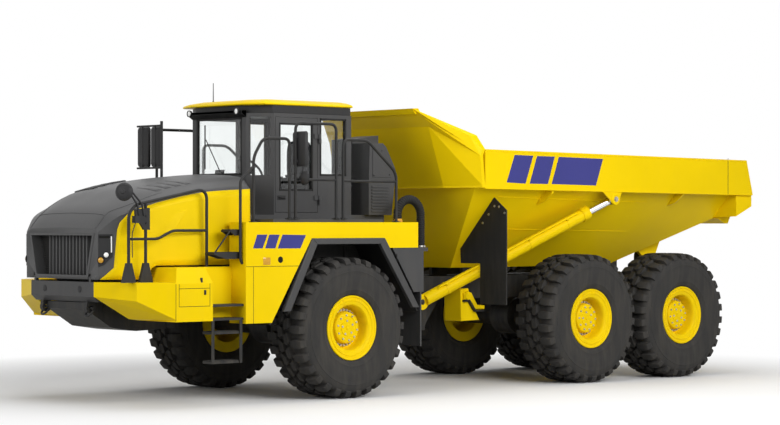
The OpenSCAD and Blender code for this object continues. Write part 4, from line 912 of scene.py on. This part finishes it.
def cushion(name, spots, crown):
    """A stuffed pad: a rounded closed form on the box that spots gives, its faces crowned."""
    half = Vector([(b - a) / 2 for a, b in spots])
    mid = Vector([(a + b) / 2 for a, b in spots])
    bm = bmesh.new()
    bmesh.ops.create_cube(bm, size=2.0)
    bmesh.ops.subdivide_edges(bm, edges=bm.edges[:], cuts=7, use_grid_fill=True)
    for v in bm.verts:
        a, b, c = v.co
        n = (abs(a) ** 5 + abs(b) ** 5 + abs(c) ** 5) ** (1 / 5)
        p = Vector((a / n, b / n, c / n))
        swell = crown * (1 - p.x ** 2) * (1 - p.y ** 2) + crown * (1 - p.y ** 2) * (1 - p.z ** 2) * 0.6
        seam = 1 - 0.05 * math.exp(-((abs(p.y) - 0.45) / 0.05) ** 2)
        v.co = mid + half * p * (1 - crown + swell) * seam + Vector((FRONT_X, 0, 0))
    mesh = bpy.data.meshes.new(name)
    bm.to_mesh(mesh)
    bm.free()
    mesh.materials.append(CLOTH)
    mesh.shade_smooth()
    piece = bpy.data.objects.new(name, mesh)
    show(piece)
    soft = piece.modifiers.new("soft", "SUBSURF")
    soft.levels = soft.render_levels = 1
    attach(piece, "front_unit")


def dress_seat():
    cushion("seat_cushion", ((-0.440, 0.075), (-0.265, 0.265), (2.755, 2.868)), 0.05)
    cushion("seat_back", ((-0.520, -0.402), (-0.245, 0.245), (2.880, 3.485)), 0.05)
    base = front()
    base.box((-0.430, 0.040), (-0.240, 0.240), (2.700, 2.752))
    base.box((-0.340, -0.040), (-0.180, 0.180), (2.480, 2.640))
    wide = ((-0.38, -0.21), (-0.02, -0.21), (-0.02, 0.21), (-0.38, 0.21))
    narrow = ((-0.35, -0.19), (-0.05, -0.19), (-0.05, 0.19), (-0.35, 0.19))
    levels = (2.640, 2.648, 2.656, 2.664, 2.672, 2.680, 2.690, 2.700)
    base.skin([[(x, y, z) for x, y in (wide, narrow)[i % 2]] for i, z in enumerate(levels)], True, True)
    base.box((-0.45, 0.05), (-0.25, 0.25), (CAB_FLOOR, 2.480))
    for s in (-1, 1):
        arm = [(-0.36, 2.93), (0.02, 2.95), (0.03, 2.99), (-0.36, 2.99)]
        base.along_y(sorted((s * 0.285, s * 0.345)), arm)
        base.box((-0.38, -0.33), sorted((s * 0.250, s * 0.300)), (2.72, 2.98))
    base.done("seat_base", MOULDED, "front_unit", bevel=0.008)


def dress_dash():
    dash = front()
    dash.along_y((-0.480, 0.480), [
        (0.878, CAB_FLOOR), (0.878, 2.915), (0.760, 2.919), (0.640, 2.880), (0.590, 2.800), (0.565, 2.640),
        (0.600, CAB_FLOOR)])
    dash.along_y((-0.16, 0.16), [(0.700, 2.900), (0.640, 2.880), (0.600, 2.975), (0.625, 2.990)])
    dash.along_y((-0.44, -0.24), [(0.690, 2.895), (0.670, 2.895), (0.645, 3.060), (0.665, 3.060)])
    dash.along_y((0.36, 0.46), [(0.30, CAB_FLOOR), (0.46, CAB_FLOOR), (0.46, 2.62), (0.32, 2.62)])
    dash.done("dash_panel", MOULDED, "front_unit", bevel=0.01, replaces="cab_fittings")
    wheel = front()
    hub = Vector((0.416, 0, 3.049))
    axis = Vector((-0.24, 0, 0.22)).normalized()
    u, v = upright(axis)
    plane = hub + axis * 0.018
    hoop = ring(plane, u, v, 0.203, 48)
    wheel.pipe(hoop + hoop[:1], 0.0155, 0, 12)
    for t in (0.3, math.pi - 0.3, 1.5 * math.pi):
        end = plane + (u * math.cos(t) + v * math.sin(t)) * 0.200
        wheel.pipe([hub + axis * 0.004, hub.lerp(end, 0.5) + axis * 0.002, end], 0.012, 0, 8)
    wheel.lathe(hub, axis, [(0.052, -0.02), (0.056, 0.006), (0.044, 0.024), (0.0, 0.026)], 28)
    wheel.rod((0.600, 0, 2.880), hub, 0.032, 0.028)
    wheel.done("steering_wheel", MOULDED, "front_unit", smooth=50)


dress_roof()
dress_cab_walls()
dress_seat()
dress_dash()


# Stripes

plate("bed_stripes", [[(-3.102, 3.294), (-3.476, 3.290), (-3.320, 2.890), (-2.943, 2.903)],
                      [(-3.553, 3.287), (-3.916, 3.285), (-3.774, 2.888), (-3.403, 2.891)],
                      [(-3.999, 3.283), (-4.928, 3.270), (-4.776, 2.878), (-3.850, 2.889)]],
      FLANK_Y, STRIPE, "bed", FRONT_X)
plate("fender_stripes", [[(1.555, 2.181), (1.386, 2.181), (1.466, 2.003), (1.623, 2.004)],
                         [(1.355, 2.181), (1.184, 2.180), (1.254, 2.002), (1.424, 2.003)],
                         [(1.135, 2.180), (0.739, 2.173), (0.836, 1.999), (1.215, 2.001)]],
      FLANK_Y, STRIPE, "front_unit", FRONT_X)


# Wheel arches

def dress_arches():
    trim = front()
    edge = [(1.130, 1.180), (0.640, 2.130), (-0.630, 2.130), (-1.255, 1.180)]
    inner = [(1.010, 1.180), (0.556, 2.050), (-0.548, 2.050), (-1.140, 1.180)]
    for a, b, c, d in zip(edge, edge[1:], inner, inner[1:]):
        trim.along_y((1.560, 1.622), [a, b, d, c])
    trim.mirrored().done("arch_trim", GRAY, "front_unit", bevel=0.008)
    walls = front()
    walls.along_y((0.925, 0.945), [(1.020, 1.340), (1.020, 2.325), (-1.200, 2.325), (-1.200, 1.340)])
    for x in (0.700, 0.100, -0.500):
        walls.box((x - 0.030, x + 0.030), (0.944, 0.962), (1.360, 2.325))
    walls.mirrored().done("arch_inner_walls", BLACK, "front_unit", bevel=0.004)


dress_arches()


# Behind the cab

HOSE_MIDDLE = Vector((-1.400, 1.250, 2.440))
HOSE_BEND = 0.215
HOSE_RIBS = 40


def dress_hose():
    x, y, z = HOSE_MIDDLE
    path = [(x + HOSE_BEND, y, 2.340 + 0.100 * i / 20) for i in range(20)]
    for i in range(136):
        t = math.pi * i / 135
        path.append((x + HOSE_BEND * math.cos(t), y, z + HOSE_BEND * math.sin(t)))
    path += [(x - HOSE_BEND, y, z - 0.450 * i / 90) for i in range(1, 91)]
    hose = front()
    hose.pipe(path, lambda t: 0.057 + 0.005 * math.sin(t * 2 * math.pi * HOSE_RIBS), 0, 20)
    hose.done("corrugated_hose", FLAP, "front_unit", smooth=60, replaces="hose_arch")
    clamps = front()
    for cx, cz in ((x + HOSE_BEND, 2.352), (x - HOSE_BEND, 2.005)):
        clamps.lathe((cx, y, cz), (0, 0, 1), [
            (0.060, -0.010), (0.066, -0.010), (0.066, 0.014), (0.060, 0.014)], 32)
        clamps.box((cx - 0.012, cx + 0.012), (y + 0.062, y + 0.086), (cz - 0.008, cz + 0.012))
    clamps.done("hose_clamps", STEEL, "front_unit", bevel=0.001)


def dress_stack():
    cover = front()
    cover.along_y((0.999, 1.010), [
        (-1.300, 2.960), (-1.250, 3.090), (-1.130, 3.330), (-1.080, 3.370), (-0.950, 3.370), (-0.950, 2.960)])
    for i in range(9):
        z = 2.480 + 0.042 * i
        cover.along_y((0.999, 1.014), [(-0.930, z), (-1.240, z), (-1.240, z + 0.012), (-0.930, z + 0.026)])
    for x, z in ((-1.255, 3.000), (-1.115, 3.330), (-0.970, 3.350), (-0.970, 2.985)):
        cover.bolt((x, 1.010, z), (0, 1, 0), 0.011, 0.014)
    for z in (2.990, 3.330):
        cover.along_y((0.470, 0.505), [(-0.895, z), (-0.880, z + 0.05), (-1.170, z + 0.05), (-1.170, z)])
    cover.done("stack_cover", GRAY, "front_unit", bevel=0.004)


dress_hose()
dress_stack()


# Bed, hoist and rear frame

HOIST_FOOT = Vector((2.495, 0.700, 1.210))
HOIST_EYE = Vector((-0.585, 1.520, 2.680))
BED_WALL_TOP = (1.4705, 2.825)
BED_WALL_LEAN = 0.95


def bed_wall_y(z):
    return BED_WALL_TOP[0] - BED_WALL_LEAN * (BED_WALL_TOP[1] - z)


def dress_bed():
    brackets = rear()
    brackets.along_y((1.578, 1.598), [
        (-0.285, 2.810), (-0.735, 2.806), (-0.670, 2.665), (-0.640, 2.610), (-0.585, 2.588), (-0.530, 2.608),
        (-0.470, 2.670)])
    brackets.lathe((HOIST_EYE.x, 1.598, HOIST_EYE.z), (0, 1, 0), [
        (0.088, -0.010), (0.088, 0.010), (0.078, 0.016), (0.050, 0.016), (0.046, 0.010), (0.0, 0.010)], 40)
    for x in (0.715, -2.125):
        brackets.along_x((x - 0.016, x + 0.016), [
            (1.252, 2.592), (1.452, 2.802), (1.585, 2.802), (1.570, 2.750), (1.420, 2.640)])
    brackets.mirrored().done("rail_brackets", YELLOW, "bed", bevel=0.004)
    pins = rear()
    pins.bolt((HOIST_EYE.x, 1.607, HOIST_EYE.z), (0, 1, 0), 0.030, 0.024)
    for y, z in ((1.120, 2.330), (1.240, 2.450), (1.360, 2.570), (1.450, 2.560), (1.560, 2.470)):
        pins.bolt((1.672, y, z), (1, 0, 0), 0.013, 0.014)
    pins.mirrored().done("bed_bolts", STEEL, "bed")
    plate("rail_seams", [[(-3.128, 2.772), (-3.138, 2.772), (-3.138, 3.330), (-3.128, 3.330)]],
          FLANK_Y, SEAM_AND_SHADE, "bed", MID_X)
    welds = rear()
    for x0, x1, z0, z1 in ((2.090, -3.560, 3.362, 3.304), (2.090, -3.700, 2.832, 2.782)):
        welds.pipe([(x0, 1.599, z0 - 0.018), (x1, 1.599, z1 - 0.018)], 0.007, 0, 8)
    for z0, z1 in ((2.700, 2.640), (2.250, 2.200)):
        welds.pipe([(1.600, bed_wall_y(z0), z0), (-1.600, bed_wall_y(z1), z1)], 0.006, 0, 8)
    welds.mirrored().done("bed_welds", YELLOW, "bed", smooth=60)


def dress_hoist():
    for word, side in SIDES:
        flip = Vector((1, side, 1))
        foot, eye = HOIST_FOOT * flip, HOIST_EYE * flip
        along = (eye - foot).normalized()
        up = (Vector((0, 0, 1)) - along * along.z).normalized()
        out = Vector((0, side, 0)) - along * along.y * side
        lean = (up + out.normalized() * 0.9).normalized()
        tube = rear()
        run = ((0.30, 0.080), (0.34, 0.122), (2.80, 0.122), (2.84, 0.080))
        tube.pipe([foot + along * reach + lean * lift for reach, lift in run], 0.017, 0.03, 14)
        for reach in (0.45, 1.20, 1.95, 2.65):
            band = [(0.089, -0.022), (0.096, -0.022), (0.096, 0.022), (0.089, 0.022)]
            tube.lathe(foot + along * reach, along, band, 40)
            a, b = (foot + along * (reach + end) + lean * 0.112 for end in (-0.022, 0.022))
            tube.rod(a, b, 0.030)
        tube.done(f"hoist_feed_tube_{word}", YELLOW, f"hoist_{word}_barrel", smooth=40)
        gland = rear()
        gland.lathe(foot + along * 3.052, along, [
            (0.056, 0.0), (0.086, 0.0), (0.090, -0.006), (0.090, -0.020)], 40)
        gland.done(f"hoist_gland_{word}", BLACK, f"hoist_{word}_barrel", smooth=40)


def dress_rear_frame():
    """Cast carriers on the outsides of the rear frame, ahead of the middle axle."""
    cast = rear()
    cast.along_y((0.440, 0.790), [
        (1.800, 1.385), (1.640, 1.390), (1.620, 1.270), (1.560, 1.250), (1.500, 1.115), (1.370, 1.110),
        (1.360, 1.075), (1.500, 1.050), (1.420, 0.930), (1.790, 0.920)])
    cast.along_y((0.700, 0.830), [
        (1.760, 1.230), (1.660, 1.250), (1.540, 1.090), (1.360, 1.085), (1.355, 1.140), (1.500, 1.150),
        (1.620, 1.330), (1.760, 1.330)])
    cast.lathe((1.690, 0.830, 1.285), (0, 1, 0), [
        (0.062, -0.02), (0.062, 0.010), (0.054, 0.016), (0.0, 0.016)], 32)
    cast.mirrored().done("frame_castings", YELLOW, "rear_unit", bevel=0.012)
    pads = rear()
    pads.along_y((0.712, 0.836), [
        (1.765, 1.222), (1.660, 1.238), (1.535, 1.078), (1.362, 1.074), (1.362, 1.050), (1.550, 1.052),
        (1.672, 1.205), (1.765, 1.196)])
    pads.mirrored().done("frame_pads", FLAP, "rear_unit", bevel=0.004)


dress_bed()
dress_hoist()
dress_rear_frame()


# Flanks and bumper

GAP = 0.006
PANEL_LINES = [
    ((1.615, 1.020), (1.615, 1.770)), ((1.735, 1.770), (0.838, 1.770)), ((2.317, 1.281), (2.317, 1.566)),
    ((2.317, 1.507), (2.800, 1.507)), ((2.800, 1.566), (2.800, 1.281)), ((2.800, 1.281), (2.317, 1.281)),
    ((2.850, 1.100), (2.850, 1.568))]
# Place, height and radius of a flat dark disc on both flanks: painted shade standing in for the inside of a
# round recess.
RECESS_SHADE_DISC = (1.169, 1.855, 0.042)
FOLD_FOOT = 1.79
STEP_BACK = 1.742
# Rear and front edge and height of each step's top
STEP_TOPS = ((1.765, 2.245, 0.570), (1.765, 2.245, 0.945), (1.745, 2.165, 1.950), (1.745, 1.905, 2.240))


def dress_gaps_and_recess_shade():
    quads = []
    for (x0, z0), (x1, z1) in PANEL_LINES:
        long = math.hypot(x1 - x0, z1 - z0)
        nx, nz = -(z1 - z0) / long * GAP / 2, (x1 - x0) / long * GAP / 2
        quads.append([(x0 + nx, z0 + nz), (x1 + nx, z1 + nz), (x1 - nx, z1 - nz), (x0 - nx, z0 - nz)])
    # The round recess is drawn as a flat dark disc: painted shade.
    x, z, r = RECESS_SHADE_DISC
    quads.append([(x + r * math.cos(t), z + r * math.sin(t)) for t in turns(28)])
    plate("panel_gaps_and_recess_shade", quads, FLANK_Y, SEAM_AND_SHADE, "front_unit", FRONT_X, lift=0.0012)


def dress_fittings():
    """Latches on both flanks, with the left steps' gussets, brace and treads."""
    fittings = front()
    for x, y, z in ((2.395, 1.600, 1.455), (2.443, 1.588, 1.610)):
        fittings.box((x - 0.014, x + 0.014), (y - 0.006, y + 0.010), (z - 0.030, z + 0.030))
        fittings.rod((x, y + 0.010, z - 0.010), (x, y + 0.020, z - 0.010), 0.009)
    fittings.mirrored()
    fittings.pipe([(2.160, 1.480, 1.940), (1.905, 1.480, 2.228)], 0.010)
    for y in (1.310, 1.475):
        fittings.along_y((y, y + 0.020), [
            (2.165, 1.948), (2.150, 1.922), (1.980, 1.870), (STEP_BACK, 1.870), (STEP_BACK, 1.948)])
        fittings.along_y((y, y + 0.020), [
            (1.908, 2.238), (1.896, 2.212), (1.830, 2.170), (STEP_BACK, 2.170), (STEP_BACK, 2.238)])
    for x0, x1, z in STEP_TOPS:
        first_y = 1.350 if z < 1.5 else 1.310
        for i in range(9):
            y = first_y + 0.170 * i / 8
            fittings.along_y((y - 0.003, y + 0.003), [
                (x0, z - 0.001), (x1, z - 0.001), (x1 - 0.006, z + 0.010), (x0 + 0.006, z + 0.010)])
    fittings.done("latches_and_treads", BLACK, "front_unit", bevel=0.001)


def dress_folds():
    fold = front()
    outline = []
    for x, z in ((2.348, 2.499), (2.960, 2.330), (2.969, 2.217), (2.563, 2.203)):
        foot_y, top_y, top_z = station(x)[:3]
        share = (z - FOLD_FOOT) / (top_z - FOLD_FOOT)
        outline.append(Vector((x, foot_y + (top_y - foot_y) * share, z)))
    fold.skin([[p + Vector((0, dy, 0)) for p in outline] for dy in (-0.010, 0.010)], True, True)
    fold.mirrored().done("hood_side_folds", YELLOW, "hood", bevel=0.006)


def dress_markers():
    plate("tank_slots", [[(-0.860, 1.825), (-0.874, 1.825), (-0.874, 1.915), (-0.860, 1.915)]], 1.590, SEAM_AND_SHADE,
          "front_unit", FRONT_X)
    marker = front()
    marker.skin(pad_rows((0.05, 0.035), ((1.0, 2.341), (1.0, 2.372), (0.8, 2.388)),
                         lambda p, q, z: (-1.010 + p, 1.460 + q, z)), True, True)
    marker.mirrored().done("side_markers", AMBER, "front_unit", bevel=0.004)
    reflector = front()
    reflector.skin(pad_rows((0.060, 0.048), ((1.0, 1.598), (1.0, 1.603), (0.86, 1.606)),
                            lambda p, q, y: (1.397 + p, y, 1.838 + q)), True, True)
    reflector.mirrored().done("fender_reflectors", AMBER, "front_unit", bevel=0.002)


def dress_bumper():
    plugs = front()
    plugs.lathe((3.474, 0.395, 1.490), (1, 0, 0), [
        (0.0, 0.008), (0.036, 0.008), (0.044, 0.004), (0.044, -0.004)], 28)
    shackle = [(3.390 + 0.050 * math.sin(t), 0.500 + 0.062 * math.cos(t), 1.205 - 0.058 * math.sin(t))
               for t in (math.pi * i / 12 for i in range(-2, 15))]
    plugs.pipe(shackle, 0.013, 0, 10)
    plugs.rod((3.390, 0.425, 1.250), (3.390, 0.575, 1.250), 0.018)
    plugs.mirrored().done("bumper_plugs", MOULDED, "front_unit", smooth=40)
    guard = front()
    guard.along_y((0.420, 0.438), [
        (3.380, 1.325), (3.380, 1.235), (3.020, 0.995), (2.630, 0.940), (2.155, 0.955), (2.155, 1.240),
        (2.900, 1.300)])
    guard.mirrored().done("belly_guard_sides", BLACK, "front_unit", bevel=0.004)


dress_gaps_and_recess_shade()
dress_fittings()
dress_folds()
dress_markers()
dress_bumper()


# Floor, light and size

FLOOR_HALF = 80
# Distances from the middle where the floor starts to turn white and is all white
WHITE_FROM, WHITE_AT = 5.4, 9.6
FLOOR_BOUNCE = (0.52, 0.52, 0.51)
FLOOR_SEEN = (0.88, 0.88, 0.88)
SKY_LIGHT = 0.22
# Name, place, aim, size and power
LAMPS = (("overhead", (0, 0, 12), (0, 0, 0), (14, 8), 640),
         ("left_key", (1.2, 14, 7.4), (-0.6, 1, 1.6), (13, 6), 1730),
         ("front_key", (16, 2, 6), (4, 0, 1.8), (7, 6), 640),
         ("back_fill", (-14, -6, 7), (-2, 0, 1.6), (8, 6), 450))


def rays_that_see(tree):
    """1 for rays that show the background: to the camera, through glass and off metal."""
    path = add(tree, "ShaderNodeLightPath").outputs
    through = maths(tree, "MAXIMUM", path["Is Transmission Ray"], path["Is Glossy Ray"])
    return maths(tree, "MAXIMUM", path["Is Camera Ray"], through)


def lay_floor():
    """A pale floor that keeps the shadow and turns plain white far out."""
    h = FLOOR_HALF
    ground = bpy.data.meshes.new("pale_floor")
    ground.from_pydata([(-h, -h, 0), (h, -h, 0), (h, h, 0), (-h, h, 0)], [], [(0, 1, 2, 3)])
    floor = bpy.data.objects.new("pale_floor", ground)
    show(floor)
    pale = bpy.data.materials.new("pale_floor")
    pale.use_nodes = True
    tree = pale.node_tree
    tree.nodes.clear()
    out = add(tree, "ShaderNodeOutputMaterial")
    matt = add(tree, "ShaderNodeBsdfDiffuse")
    white = add(tree, "ShaderNodeEmission")
    white.inputs["Color"].default_value = (1, 1, 1, 1)
    place = add(tree, "ShaderNodeTexCoord")
    reach = add(tree, "ShaderNodeVectorMath", operation="LENGTH")
    wire(tree, place.outputs["Object"], reach.inputs[0])
    far = spread(tree, reach.outputs["Value"], WHITE_FROM, WHITE_AT, 0.0, 1.0)
    seen = rays_that_see(tree)
    wire(tree, blend_colour(tree, "MIX", seen, FLOOR_BOUNCE, FLOOR_SEEN), matt.inputs["Color"])
    mix = add(tree, "ShaderNodeMixShader")
    wire(tree, maths(tree, "MULTIPLY", far, seen), mix.inputs[0])
    wire(tree, matt.outputs[0], mix.inputs[1])
    wire(tree, white.outputs[0], mix.inputs[2])
    wire(tree, mix.outputs[0], out.inputs[0])
    ground.materials.append(pale)


def light_stage():
    world = bpy.data.worlds.new("studio")
    bpy.context.scene.world = world
    world.use_nodes = True
    tree = world.node_tree
    tree.nodes.clear()
    out = add(tree, "ShaderNodeOutputWorld")
    sky = add(tree, "ShaderNodeBackground")
    sky.inputs["Color"].default_value = (1, 1, 1, 1)
    wire(tree, spread(tree, rays_that_see(tree), 0, 1, SKY_LIGHT, 1.0), sky.inputs["Strength"])
    wire(tree, sky.outputs[0], out.inputs[0])
    for name, at, aim, size, power in LAMPS:
        data = bpy.data.lights.new(name, "AREA")
        data.shape = "RECTANGLE"
        data.size, data.size_y = size
        data.energy = power
        light = bpy.data.objects.new(name, data)
        light.location = at
        light.rotation_euler = (Vector(aim) - Vector(at)).to_track_quat("-Z", "Y").to_euler()
        show(light)


bpy.context.scene.view_settings.view_transform = "Standard"
lay_floor()
light_stage()
